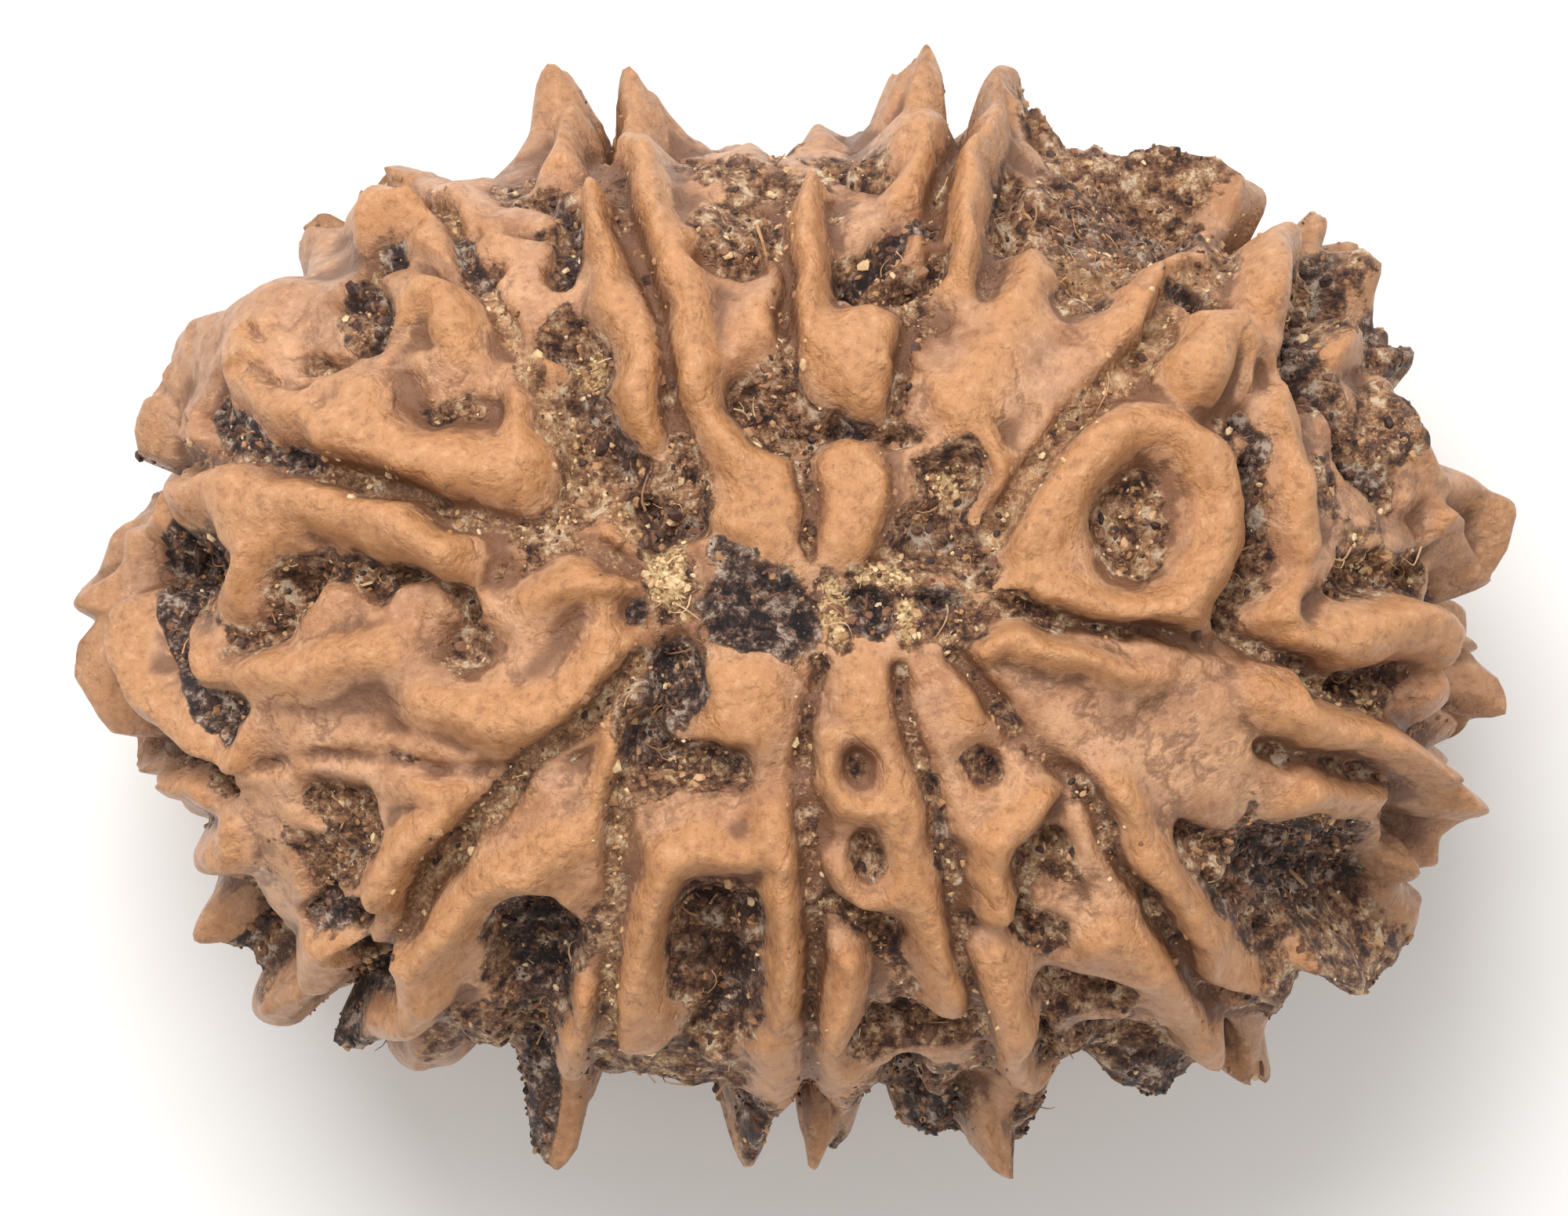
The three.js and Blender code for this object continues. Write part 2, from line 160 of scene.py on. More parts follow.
# %% Ridges of the north side
RIDGES = {
    "nw_rim": (4, [(-56, 37, 7), (-61, 37.5, 9), (-66.5, 37.5, 10), (-70.5, 34.5, 9), (-73, 32.5, 8)]),
    "nw_shoulder": (3.4, [(-76, 30, 9), (-79, 26.5, 9), (-80, 22.5, 9), (-79.5, 19.5, 8)]),
    "nw_back": (4.5, [(-66.5, 35, 10), (-67, 30.5, 11), (-69, 26, 10)]),
    "nw_lower_rim": (3.2, [
        (-66, 23, 11), (-60, 22, 12), (-54, 22, 12), (-48, 19.5, 12.5), (-42, 18, 13), (-32, 17, 13),
    ]),
    "nw_right_rim": (2.5, [(-31.5, 18, 13), (-32.5, 23, 11), (-32, 29, 9)]),
    "nw_inner_lip": (2.5, [(-56, 27, 10), (-52, 26.5, 11), (-49, 22.5, 12)]),
    "nw_ear": (2.4, [
        (-48.5, 37, 10), (-46.5, 40.5, 13), (-43, 40.5, 14), (-41, 37, 13), (-40.5, 33, 11), (-42, 30.5, 9),
    ]),
    "nw_spine": (2.9, [(-56.5, 41, 5), (-57, 47, 7)]),
    "nnw_lobe": (3.2, [
        (-50.5, 48, 7), (-50.5, 53, 8), (-48.5, 55, 8), (-45, 54, 8), (-42, 52, 7), (-34, 53, 5),
    ]),
    "nnw_lobe_inner": (2.5, [
        (-50, 52, 13), (-46.5, 51.5, 13), (-43.5, 49, 12), (-40.5, 47, 11), (-37, 46.5, 10),
    ]),
    "nnw_spine": (3.7, [(-29.5, 56, 6), (-29.2, 68, 8)]),
    "nnw_shoulder": (3.2, [(-25.3, 63, 8), (-24, 58.5, 6)]),
    "nnw_inner_spine": (1.8, [(-27.5, 57, 10), (-27, 63, 12)]),
    "nnw_edge_upper": (1.8, [(-23.5, 53, 13), (-22, 47, 12), (-21, 41, 11)]),
    "nnw_edge_lower": (2.6, [(-20, 38, 10), (-17.5, 32, 12), (-17, 26, 12), (-15, 21, 11), (-14, 19, 8)]),
    "nnw_pole_nose": (3.2, [(-25, 10, 7.5), (-20, 8, 7.5)]),
    "n_spine": (3.3, [(-18.5, 57, 6), (-18.8, 67.3, 8)]),
    "n_spine_side": (3, [(-15, 64, 8), (-12.5, 61, 6), (-10.5, 58.5, 4)]),
    "n_crest": (2.3, [
        (-16, 56.5, 12), (-15, 51, 12), (-13, 46, 12), (-11.5, 41, 12), (-10.5, 35, 12), (-9.5, 29, 12),
        (-8, 24, 12), (-5.5, 20, 12), (-3, 17, 10),
    ]),
    "n_small_spine": (2.2, [(-3, 52, 5), (-3, 57.5, 5)]),
    "n_right_edge": (3, [(-1.5, 47, 9), (-2, 38, 10), (-1.5, 32, 9)]),
    "n_pole_block": (4, [(-3, 15, 9), (0, 12, 9), (1, 8, 8)]),
    "nne_crest": (1.9, [(4.8, 53.5, 11.5), (4, 50, 12), (4, 45, 12), (4.5, 39, 11.5), (6, 28, 10)]),
    "nne_small_spine": (2.6, [(6, 54, 5), (6.3, 59.8, 5), (9.5, 58, 4), (12, 56.5, 3)]),
    "nne_spine": (3.9, [(16.5, 56, 7), (18.6, 71.2, 9)]),
    "nne_inner": (2.3, [(18.5, 61, 13), (19, 56, 12), (17, 50, 10)]),
    "nne_block": (4, [(7, 33, 12), (11, 32.5, 12.5), (15, 33, 12)]),
    "nne_block_foot": (3, [(8, 27, 9), (14, 27, 9)]),
    "nne_pole_block": (4.3, [(10, 16, 9), (10, 10, 9)]),
    "ne_finger": (1.9, [
        (29, 66, 11), (27.5, 62, 12), (25.5, 57, 12.5), (25, 47, 12.5), (24, 43, 11.5), (23, 41, 9),
    ]),
    "ne_spine": (3, [(30, 58, 7), (30.3, 66.5, 9), (34, 65, 8), (35.3, 61, 7)]),
    "ne_rim": (2.4, [
        (37, 56, 6), (40.5, 57.2, 8), (44, 56.5, 8), (50, 58.7, 9), (54, 56.5, 9), (59, 54, 9), (60, 51, 9),
    ]),
    "ne_web": (4, [(30, 44, 9), (31, 38, 10), (28, 33, 10), (24, 28, 10)]),
    "ne_knob": (3, [(21.5, 25.5, 11), (22, 25, 11)]),
    "ne_pole_curl": (1.4, [
        (23, 25, 10), (26.5, 22.5, 10), (29, 19.5, 10), (29, 16, 9), (27, 12.5, 8), (25, 9.5, 7),
    ]),
    "ne_blade": (2.4, [(52, 43.5, 11), (48, 39.5, 11), (44.5, 35.5, 10), (41, 31.5, 9), (36, 29, 8)]),
}
print(len(RIDGES), "ridges to the north")

# %% [markdown]
# The east side has a closed ring round a pit, a hooked ridge beside it, and a long wave that ends in a
# knob on the outline. A ring is drawn as four ridges that share their ends, because its rim isn't
# equally wide all round.

# %% Ridges of the east side
RIDGES |= {
    "e_ring_left": (2.6, [(29.5, 6, 9), (33, 11, 11), (37, 15.5, 11.5), (41, 20, 11.5)]),
    "e_ring_top": (2.6, [(41, 20, 11.5), (46, 22.5, 12.5), (51, 22.5, 12.5), (55, 19.5, 12)]),
    "e_ring_right": (2.6, [(55, 19.5, 12), (57, 13, 12), (56, 7, 12), (54, 2, 13), (51, -1, 13)]),
    "e_ring_bottom": (2.2, [(51, -1, 13), (45, -0.5, 11.5), (38, 2, 10.5), (32, 3, 9.5)]),
    "e_hook": (2.6, [
        (54.5, 31, 15), (57, 35.5, 14), (60, 36.5, 14), (62.5, 33, 13), (63.5, 28, 12), (64.5, 22, 11),
        (66, 17, 11), (66.5, 12, 10), (64, 9, 9),
    ]),
    "e_hook_knob": (3, [(55, 31, 15), (55.5, 31, 15)]),
    "ene_rim": (2.3, [
        (63, 41, 12), (64, 45, 11), (67.5, 47.5, 10), (71, 48.5, 9), (75, 45, 9), (77, 40.5, 9),
        (78, 36.5, 8),
    ]),
    "ene_bump": (2.5, [(71.5, 33.5, 11), (72, 33.5, 11)]),
    "ene_knob": (2, [(82, 34, 12), (82, 33, 12)]),
    "e_hook_foot": (1.8, [(67.5, 8, 10), (68, 8, 10)]),
    "e_upper": (2.4, [(79, 26.5, 8), (81, 21, 9), (85, 15.5, 9), (90, 14, 9), (93.5, 12.5, 9)]),
    "e_nose": (2, [(93.5, 11.5, 9), (93, 8, 9), (91.5, 5.5, 9)]),
    "e_nose_lip": (2, [(86, 10.5, 10), (88.5, 6, 9), (91.5, 2.5, 9)]),
    "e_wave": (2.6, [
        (64, -1.5, 13), (67.5, -4.5, 13), (71.5, -5, 12), (75.5, -3, 12), (79.5, -2, 12), (84, -1.5, 13),
        (86.5, -3.5, 13), (85.5, -7, 12), (83.5, -10, 10),
    ]),
    "e_wave_upper": (2, [(64, -1, 13), (66.5, 3, 10), (69.5, 5.5, 8)]),
    "e_knob_upper": (2.8, [(90, -6, 9), (90.5, -6, 9)]),
    "e_knob_lower": (4.2, [(88, -12.5, 9), (92.8, -13, 9)]),
    "ese_bright": (1.5, [
        (25, -6, 9), (29, -4, 11.5), (33, -4.5, 12), (38, -6.5, 12), (43, -8, 11.5), (48.5, -8.8, 10),
    ]),
    "ese_blade": (2.2, [
        (57, -12, 9), (62, -11.5, 12), (68, -13, 13), (74, -16, 13.5), (80, -18.5, 14), (85, -21, 14),
        (89, -24.5, 14), (90.5, -26.5, 13), (87, -29.5, 11), (82, -33.5, 9),
    ]),
    "ese_left": (2.2, [
        (42, -19, 9), (44, -24, 11.5), (46.5, -30, 12), (50.5, -36, 12.5), (55, -41.5, 13), (59, -44.5, 13),
    ]),
    "ese_lump": (4.5, [(69, -22.5, 10), (70.5, -24.5, 10)]),
    "ese_low": (2.4, [(82, -34, 11), (80, -39, 11), (76, -46, 12), (70, -45, 11)]),
}
print(len(RIDGES), "ridges so far")

# %% [markdown]
# To the south the faces are narrow. Each is a ladder: two long ridges with cross bars between them,
# which leave small round eyes near the pole and a dark hollow farther out. The ridges end in spines.

# %% Ridges of the south side
RIDGES |= {
    "se_pole_block": (3.5, [(21, -9, 8), (25, -12, 9.5)]),
    "se_boot": (2, [(33.5, -23.5, 11), (32, -26.5, 11.5), (28.5, -30, 12), (28, -34, 12), (29, -38.5, 12)]),
    "se_finger": (2.2, [(29, -43, 10), (29.5, -48, 12), (30.5, -53, 13), (30.5, -57, 12)]),
    "se_blade": (2.8, [(35, -37, 9), (41, -40, 11), (46, -44, 11.5), (51, -48.5, 11.5)]),
    "se_nose": (2, [(55.5, -52, 10), (56, -57, 12)]),
    "se_knob_finger": (3.4, [(61.5, -48, 8), (62.3, -53, 9), (62, -57.5, 9)]),
    "se_ball": (5, [(49.5, -60.5, 8), (49.5, -60, 8)]),
    "se_spine": (4, [(32, -60, 7), (30.5, -65, 9), (30.2, -70.8, 9)]),
    "sse_pole_block": (4.5, [(11, -7, 8.5), (11, -12, 10)]),
    "sse_frame": (1.8, [(6.5, -16, 10), (7, -22, 10), (9, -25, 10.5), (16, -25.5, 10.5)]),
    "sse_frame_low": (1.8, [(8, -34, 10), (11, -36, 10.5), (16, -35.5, 10)]),
    "sse_web": (3, [(15, -20, 9.5), (17, -28, 10), (18, -36, 10), (20.5, -43, 10.5), (23, -49, 10)]),
    "sse_finger": (1.8, [(7, -41, 9), (9.5, -45, 11.5), (9.5, -50, 12), (8.5, -55, 12)]),
    "sse_spine": (2.8, [(8, -58, 7), (8.5, -64, 8), (7, -67.5, 9), (6, -70.5, 9)]),
    "sse_knob": (3, [(20, -60, 6), (20, -68, 8)]),
    "s_pole_block": (5, [(-4, -9, 8.5), (-3, -14, 9)]),
    "s_arch_left": (2.2, [
        (-3, -31, 11), (-9, -30.5, 11.5), (-13.5, -32.5, 12), (-15.5, -38, 12), (-17, -46, 12),
        (-19, -54, 11),
    ]),
    "s_arch_right": (1.9, [(0.5, -27, 10.5), (2, -33, 12), (2, -40, 12), (1.5, -46, 12.5), (0, -52, 12)]),
    "s_spine": (2.6, [(0.5, -57, 8), (-1, -63, 8), (-2.5, -70.5, 9)]),
    "sw_edge": (2, [(-16.5, -10, 8), (-19.5, -14, 9.5), (-20.5, -20, 10), (-21, -27, 10)]),
    "sw_diagonal": (2.8, [
        (-24, -29, 10.5), (-31, -31, 11.5), (-35, -35, 12.5), (-39, -39, 13), (-44, -42, 13.5),
        (-47, -45.5, 14), (-45.5, -49, 13),
    ]),
    "sw_small_knob": (2.2, [(-48, -51.5, 12), (-48, -51, 12)]),
    "sw_back_knob": (4.5, [(-56.5, -54, 7), (-56, -53.5, 7)]),
    "sw_low_knob": (3.4, [(-44, -56.5, 7), (-44, -56, 7)]),
    "sw_leaf": (2.2, [(-24, -50, 9), (-26, -57.5, 9)]),
    "sw_spine": (3.8, [(-27.5, -61, 8), (-27.5, -69.5, 8)]),
}
print(len(RIDGES), "ridges so far")

# %% [markdown]
# The west end is broad and smooth, with thick rims round three rough hollows. Broad rims get a larger
# half width, so that their tops stay flat.

# %% Ridges of the west side
RIDGES |= {
    "w_rim_upper": (2.8, [
        (-90.5, 2.5, 10), (-87, 7, 10), (-82, 11, 10), (-76, 14, 10.5), (-71, 14.5, 11), (-66, 13.5, 11),
        (-60, 13.5, 12), (-54, 12.5, 13), (-48, 10.5, 14), (-42, 8, 14.5),
    ]),
    "w_cross": (2.2, [(-68, 11, 11), (-67, 6, 10.5), (-69, 0, 10.5), (-72, -5, 10)]),
    "w_rim_left": (3.2, [
        (-83, -1, 11.5), (-83, -6, 11.5), (-81, -11, 11.5), (-75, -14.5, 11.5), (-69, -17.5, 11),
    ]),
    "w_back": (3.4, [(-91, -5, 9), (-91.5, -9, 9), (-88, -14, 9), (-83, -18, 9)]),
    "w_end_knob": (4.2, [(-89, 6.5, 10), (-89.8, 3.5, 10)]),
    "w_back_block": (2.3, [(-77, -21.5, 9), (-72.5, -23, 8.5)]),
    "w_band": (2.6, [(-71, -8, 10.5), (-64, -8.5, 11), (-57, -6.5, 11), (-50, -5.5, 10.5)]),
    "w_nose": (2.4, [(-31, 1.5, 10), (-26, 3, 12), (-21, 2.8, 12)]),
    "w_scoop": (3, [
        (-20.5, -1, 10), (-22, -5, 11), (-25, -10, 12), (-30, -14.5, 12.5), (-35, -15.5, 12.5),
        (-40, -13.5, 11.5), (-45, -11, 10),
    ]),
    "wsw_blade": (2.4, [
        (-47, -21.5, 9), (-41, -24, 12), (-43, -28, 12.5), (-47, -33, 13), (-51, -36.5, 13),
    ]),
    "wsw_edge": (2, [(-69, -28, 9), (-70, -31, 10)]),
    "wsw_spike_left": (2.7, [(-73.5, -42, 9), (-69, -46, 9), (-64.5, -50.5, 9)]),
    "wsw_spike_right": (2.7, [(-57, -42, 10), (-59, -46, 9), (-63, -50, 9)]),
}
print(len(RIDGES), "ridges in all")

# %% [markdown]
# Pits are round hollows. Each has a centre, two half sizes, a depth and how charred its floor is: 0
# is clean skin and 1 is black pulp. The pole holds a dark dried plug.

# %% The pits
PITS = {
    "ring": (45, 10.5, 6, 8.5, 5.4, 0.35),
    "w_eye": (-38, -4.5, 5.2, 4.8, 3.4, 0.3),
    "sse_eye": (10.5, -18.5, 3.7, 3.7, 3.2, 0.3),
    "sse_eye_low": (12, -30.8, 3.7, 3.5, 3.2, 0.3),
    "se_eye": (26.7, -19, 3, 3.2, 3.2, 0.2),
    "se_dot": (35.8, -29.5, 2, 2, 3, 0.35),
    "nw_pan": (-41.5, 25, 7.5, 4.5, 0.9, 0),
    "nw_swirl": (-58, 32, 5, 4.5, 0.6, 0),
    "ne_crater": (45, 48, 14, 8.5, 4.5, 0.5),
    "ne_bowl": (22.5, 15.5, 5, 5, 4, 0.1),
    "ese_crater": (67, -32, 11, 8, 6.5, 1),
    "s_horseshoe": (-7, -43.5, 6.2, 8.5, 5.5, 0.5),
    "pole_south": (-12, -8.5, 4.5, 5, 4.5, 0.9),
    "pole_plug": (-1.5, -1, 7.4, 6.2, 1.4, 1),
    "pole_east": (12, -1, 3.6, 3.5, 3, 0.9),
    "pole_west": (-18, -0.5, 2.2, 2.6, 3, 0.8),
    "pole_slit": (21, 1.8, 2.6, 1.2, 3.5, 1),
}
POLE_PITS = ("pole_south", "pole_plug", "pole_east", "pole_west", "pole_slit")
print(len(PITS), "pits")

# %% [markdown]
# Most hollows aren't round: they wind between the ridges as troughs full of dried pulp. A trough has
# a half width, a depth, its char from 0 to 1, and a course.

# %% Troughs of the west and north
TROUGHS = {
    "w_cup": (4.4, 5, 0.8, [(-80, 6.5), (-76, 8), (-71, 5.5)]),
    "w_cup_top": (1.8, 4, 0.7, [(-76, 12.5), (-76, 8)]),
    "w_cup_run": (3.8, 4.5, 0.8, [(-76, 4), (-76, -1), (-75, -6), (-72, -10.5), (-67.5, -13.5)]),
    "w_trough_left": (3.4, 4, 0.3, [(-67, -4), (-63.5, -1.5), (-61, 3)]),
    "w_trough_right": (2.4, 3.5, 0.35, [(-61, 3), (-57, 6), (-53, 5), (-49.5, 2.5)]),
    "w_nose_slot": (1.3, 3.5, 0.4, [(-47, 3.5), (-42, 4.2), (-39, 3.5), (-38, 0)]),
    "w_hollow": (3.5, 0.8, 0, [(-62, -11), (-55, -11.5), (-48, -12.5)]),
    "w_plate_gap": (1.6, 7, 0.6, [
        (-92, -0.5), (-86.5, 0), (-84.5, -5), (-83, -12), (-79, -16.5), (-73, -19), (-67, -21),
    ]),
    "nw_black": (2.6, 4, 0.95, [(-68.5, 26), (-67, 22), (-63, 19.5), (-58, 18.5)]),
    "nw_swirl_line": (0.9, 1.8, 0.1, [(-62, 32.5), (-59, 30.5), (-56, 29.5)]),
    "nw_swirl_end": (1.2, 2, 0.2, [(-57, 29.5), (-52.5, 29.2)]),
    "nw_fold_line": (0.8, 1.5, 0.1, [(-64, 28), (-60, 26.5), (-56.5, 26.5)]),
    "nw_back_fold": (1, 2.4, 0.1, [(-75.5, 31), (-75, 25), (-72, 22)]),
    "nw_back_notch": (0.9, 2.2, 0.1, [(-70.5, 36), (-70.5, 31)]),
    "nw_pan_crumbs": (1.6, 1.8, 0.1, [(-46, 23.8), (-42, 22.8), (-38.5, 25), (-36, 24.5)]),
    "nw_dark_band": (2.2, 3.2, 0.7, [
        (-52, 37.5), (-50.5, 40), (-47, 43.5), (-42, 45), (-37.5, 43.5), (-35.5, 41),
    ]),
    "nw_dark_spot": (1.6, 4, 0.9, [(-49.5, 37), (-48, 34), (-50, 31.5)]),
    "nnw_char": (1.7, 4, 0.8, [(-28.5, 51), (-26.5, 49), (-25.5, 44), (-27, 40.5)]),
    "nnw_fold": (1.1, 1.2, 0.25, [(-35, 45), (-31, 45.5), (-28, 46)]),
    "nnw_pit_run": (2.6, 4, 0.55, [(-28, 32.5), (-24, 32.5), (-22, 29), (-24, 26), (-21, 22), (-18, 19)]),
    "nnw_low_ground": (4.4, 3.5, 0.15, [(-26, 21), (-25, 14), (-20, 16), (-14, 14), (-9.5, 15), (-10, 19)]),
    "nnw_pole_edge": (1.7, 4, 0.6, [(-17, 12), (-15, 8), (-12, 9), (-9, 10)]),
    "n_rough": (3.4, 1.2, 0.1, [(-8, 49), (-5, 46), (-2, 47)]),
    "n_rough_low": (1.4, 3, 0.3, [(-9, 41.5), (-5, 41), (-2, 42), (-0.5, 46)]),
    "n_side_brown": (1.5, 3, 0.35, [(-12, 57), (-9, 56), (-7, 54)]),
    "n_pan": (3.2, 4.5, 0.3, [(-3.5, 26.5), (0, 28), (3.5, 27), (6.5, 23.5), (2, 22.5), (-1, 23)]),
    "nne_top": (1.1, 2.8, 0.3, [(4.5, 55.5), (7, 56), (8, 53.5), (11, 51.5), (14, 51.5)]),
    "nne_gold": (1.6, 3.5, 0.1, [(8.5, 40.5), (12, 39), (16, 40)]),
    "nne_dark": (1.6, 4, 0.75, [(9, 42), (13, 43), (16.5, 46.5), (19, 47)]),
    "nne_brown": (1.4, 4, 0.4, [(16, 41), (19.5, 40.5), (20.5, 43)]),
    "nne_spine_dark": (1.1, 3, 0.5, [(14, 58.5), (17, 60.5), (19.5, 62.5), (21.5, 62)]),
    "nne_low": (1.6, 4, 0.8, [(9.5, 23), (12, 22)]),
    "nne_side": (1.7, 3.5, 0.3, [(17.5, 29), (18.5, 25), (16, 22), (20, 22.5)]),
}
print(len(TROUGHS), "troughs to the west and north")

# %% [markdown]
# On the east and south sides most troughs are deeper and darker, because the spines there shelter the
# pulp from wear.

# %% Troughs of the east and south
TROUGHS |= {
    "ne_spine_inside": (1.7, 4.5, 0.5, [(31.5, 65), (33.5, 62.5), (35, 58.5), (36.5, 57)]),
    "ne_crater_left": (2.2, 4, 0.4, [(29.5, 54), (30, 48), (28, 42), (26.5, 39.5)]),
    "ne_crater_low": (2.6, 3, 0.15, [(37, 38), (40, 38.5), (38, 42)]),
    "ne_run_dark": (1.7, 4, 0.8, [(51, 39), (55, 38)]),
    "ne_bowl_low": (2.6, 4, 0.45, [(16, 10), (20, 9), (24, 8), (27, 6)]),
    "e_dark_groove": (1.6, 4, 0.7, [(60.5, 28), (58.5, 23), (60.5, 20), (59, 15), (60.5, 9)]),
    "e_crumb_groove": (2.2, 4, 0.25, [(61, 6.5), (58.5, 2.5), (57, -2), (60, -4)]),
    "ene_black": (2.8, 4.5, 0.75, [(65.5, 37), (67, 31), (66, 28)]),
    "ene_black_run": (2.2, 4, 0.7, [(69, 27), (71.5, 23), (72.5, 18), (76.5, 14.5)]),
    "ene_inside": (2.4, 4, 0.7, [(68, 44), (70, 39), (72, 34)]),
    "ene_brown": (2.4, 3.5, 0.65, [(75, 37), (76.5, 31), (79, 26)]),
    "e_low_pit": (2.4, 4, 0.3, [(72, 2.5), (76, 4), (83, 4)]),
    "e_black_end": (1.7, 4, 0.9, [(85, 2), (88.5, 0.5)]),
    "e_under_wave": (1.8, 4, 0.5, [(72, -8.5), (76, -7.5), (79.5, -8.5)]),
    "e_gold": (1.6, 2.5, 0.1, [(66, -9.5), (71, -11), (76, -13)]),
    "e_knob_gap": (1.3, 6, 0.6, [(86, -6), (84, -10), (85.5, -14), (86, -18)]),
    "ese_trough": (1.6, 3.5, 0.4, [(61.5, -16.5), (66, -17.5), (70, -19.5), (76, -21), (80.5, -21.5)]),
    "ese_gold_end": (2.8, 3.5, 0.25, [(77, -24), (80, -27), (83, -26)]),
    "ese_crater_low": (3, 3.5, 0.8, [(67, -37), (72, -37), (77, -34)]),
    "ese_gold_pit": (2.4, 3.2, 0, [(52, -28), (54.5, -29)]),
    "ese_dark": (1.3, 3, 0.7, [(54, -33), (54, -35)]),
    "ese_foot_pit": (2.2, 4, 0.6, [(56, -37), (58, -41), (62, -42.5)]),
    "se_rough": (2.6, 3, 0.2, [(31, -33), (35, -34), (38, -36)]),
    "se_rough_low": (1.8, 3.5, 0.4, [(31.5, -37.5), (36, -39)]),
    "se_grey": (1.2, 1.6, 0.6, [(21.5, -24), (21.5, -28)]),
    "se_low_rough": (2.4, 3.5, 0.3, [(34, -46), (38, -47.5), (42, -48)]),
    "se_low_dark": (2.6, 4, 0.75, [(40, -53), (44, -53), (48, -53)]),
    "se_slot": (1.7, 4, 0.4, [(33, -50), (33.5, -54), (34, -57)]),
    "se_side_pit": (2.2, 3.5, 0.6, [(58, -49), (62, -49.5)]),
    "sse_low_dark": (3.4, 4.5, 0.6, [(12, -53), (17, -51), (22, -51.5)]),
    "sse_low_end": (2.2, 4, 0.7, [(17, -57), (19, -62)]),
    "sse_gold": (2.2, 3, 0.1, [(6, -38), (10, -38.5), (13, -40.5)]),
    "s_horseshoe_top": (2.6, 3, 0.65, [(-10.5, -37.5), (-5, -38.5), (-2, -39)]),
    "s_horseshoe_low": (2.8, 4, 0.65, [(-4, -46), (-4.5, -50), (-8, -53)]),
    "s_slot": (2.3, 4, 0.6, [(-16, -14), (-14, -18.5), (-9, -19.5), (-4, -19.5)]),
    "sw_pit": (4, 6, 1, [(-32, -37), (-29, -42), (-30, -47)]),
    "sw_pit_low": (3.4, 4.5, 0.85, [(-30, -52), (-29, -58)]),
    "wsw_pit": (2.6, 3.6, 0.3, [
        (-56, -23.5), (-52, -24.5), (-51, -28), (-54, -31.5), (-57.5, -30.5), (-56.5, -34),
    ]),
    "wsw_black": (1.7, 4, 0.8, [(-58, -37.5), (-52, -37)]),
    "wsw_back": (2.2, 4, 0.8, [(-66, -33.5), (-65, -37), (-67, -40)]),
    "wsw_grey": (2.6, 3.5, 0.55, [(-64, -42.5), (-60, -43.5)]),
    "wsw_low": (2, 4, 0.8, [(-52, -42), (-49.5, -42), (-48, -45), (-52, -47), (-54, -49)]),
}
print(len(TROUGHS), "troughs in all")

# %% [markdown]
# Between the ridges lie smooth plains of skin, a little proud of the rough ground. They are soft oval
# patches: centre, half sizes and height. What no plain or ridge covers is rough and full of crumbs.

# %% The plains
PLAINS = [
    (-62, 32, 14, 9, 9.2), (-46, 20, 15, 5, 8.7), (-30, 23, 4, 8, 8.2), (-44, -3, 21, 8, 7.9),
    (-70, -14, 10, 6, 8.7), (-30, -8, 12, 8, 9), (-35, -27, 17, 8, 8.5), (-62, -30, 9, 10, 7.7),
    (-53, -20, 12, 5, 8.5), (-30, -33, 9, 5, 9), (-3, -12, 5.5, 6, 8), (-6, -29, 9, 5, 8.9),
    (12, -12, 5.5, 6, 8.5), (12.5, -27, 5.5, 11, 8.5), (24, -13, 5, 7, 9), (28, -24, 5, 6, 9),
    (48, -15, 13, 12, 8.9), (38, -8, 12, 5, 8.4), (45, -29, 6, 8, 8.9), (62, -14, 8, 5, 9),
    (44, 10, 15, 14, 9.5), (76, -3, 10, 4, 9.7), (62, 30, 4.5, 8, 9.5), (31, 37, 8, 11, 8.5),
    (42, 36, 9, 5, 8.5), (11, 31, 6, 6, 10.2), (10, 13, 5.5, 6, 8.7), (-9, 40, 5, 15, 9.3),
    (-3, 35, 5.5, 6, 8.5), (-2, 14, 6, 5.5, 8.7), (-30, 45, 8, 8, 7.9), (-18, 30, 4.5, 11, 9),
    (-33, 38, 5, 5, 7.9), (-45, 51, 9, 5, 10.2), (-62, 10, 15, 4, 10.2), (82, 18, 7, 5, 8.7),
    (-48, 37, 5, 5, 8.7), (8, -52, 4, 10, 8.7), (30, -50, 4, 9, 8.7), (0, -50, 4, 10, 9.2),
    (-17, -48, 3.5, 10, 9.2), (-45, -43, 7, 5, 9.7), (46, -43, 9, 4, 8.7), (62, -53, 4, 6, 9.7),
    (70, 46, 8, 5, 9.7), (-22, 9, 5, 3.5, 8.4), (55, 33, 4, 4, 9.7), (84, -24, 8, 5, 9.7),
    (-42, 28, 9, 5, 8.2), (-55, -12, 10, 4, 8.6), (-75, 28, 6, 9, 9.2), (0, 45, 3, 4, 7.4),
    (14, 47, 5, 4, 8),
]
print(len(PLAINS), "plains")

# %% [markdown]
# Colour follows the same plan. Patches of charred pulp, cream fibres and golden crumbs lie mostly in
# hollows, so they are kept as soft round patches: centre, radius along x, radius along y, strength.

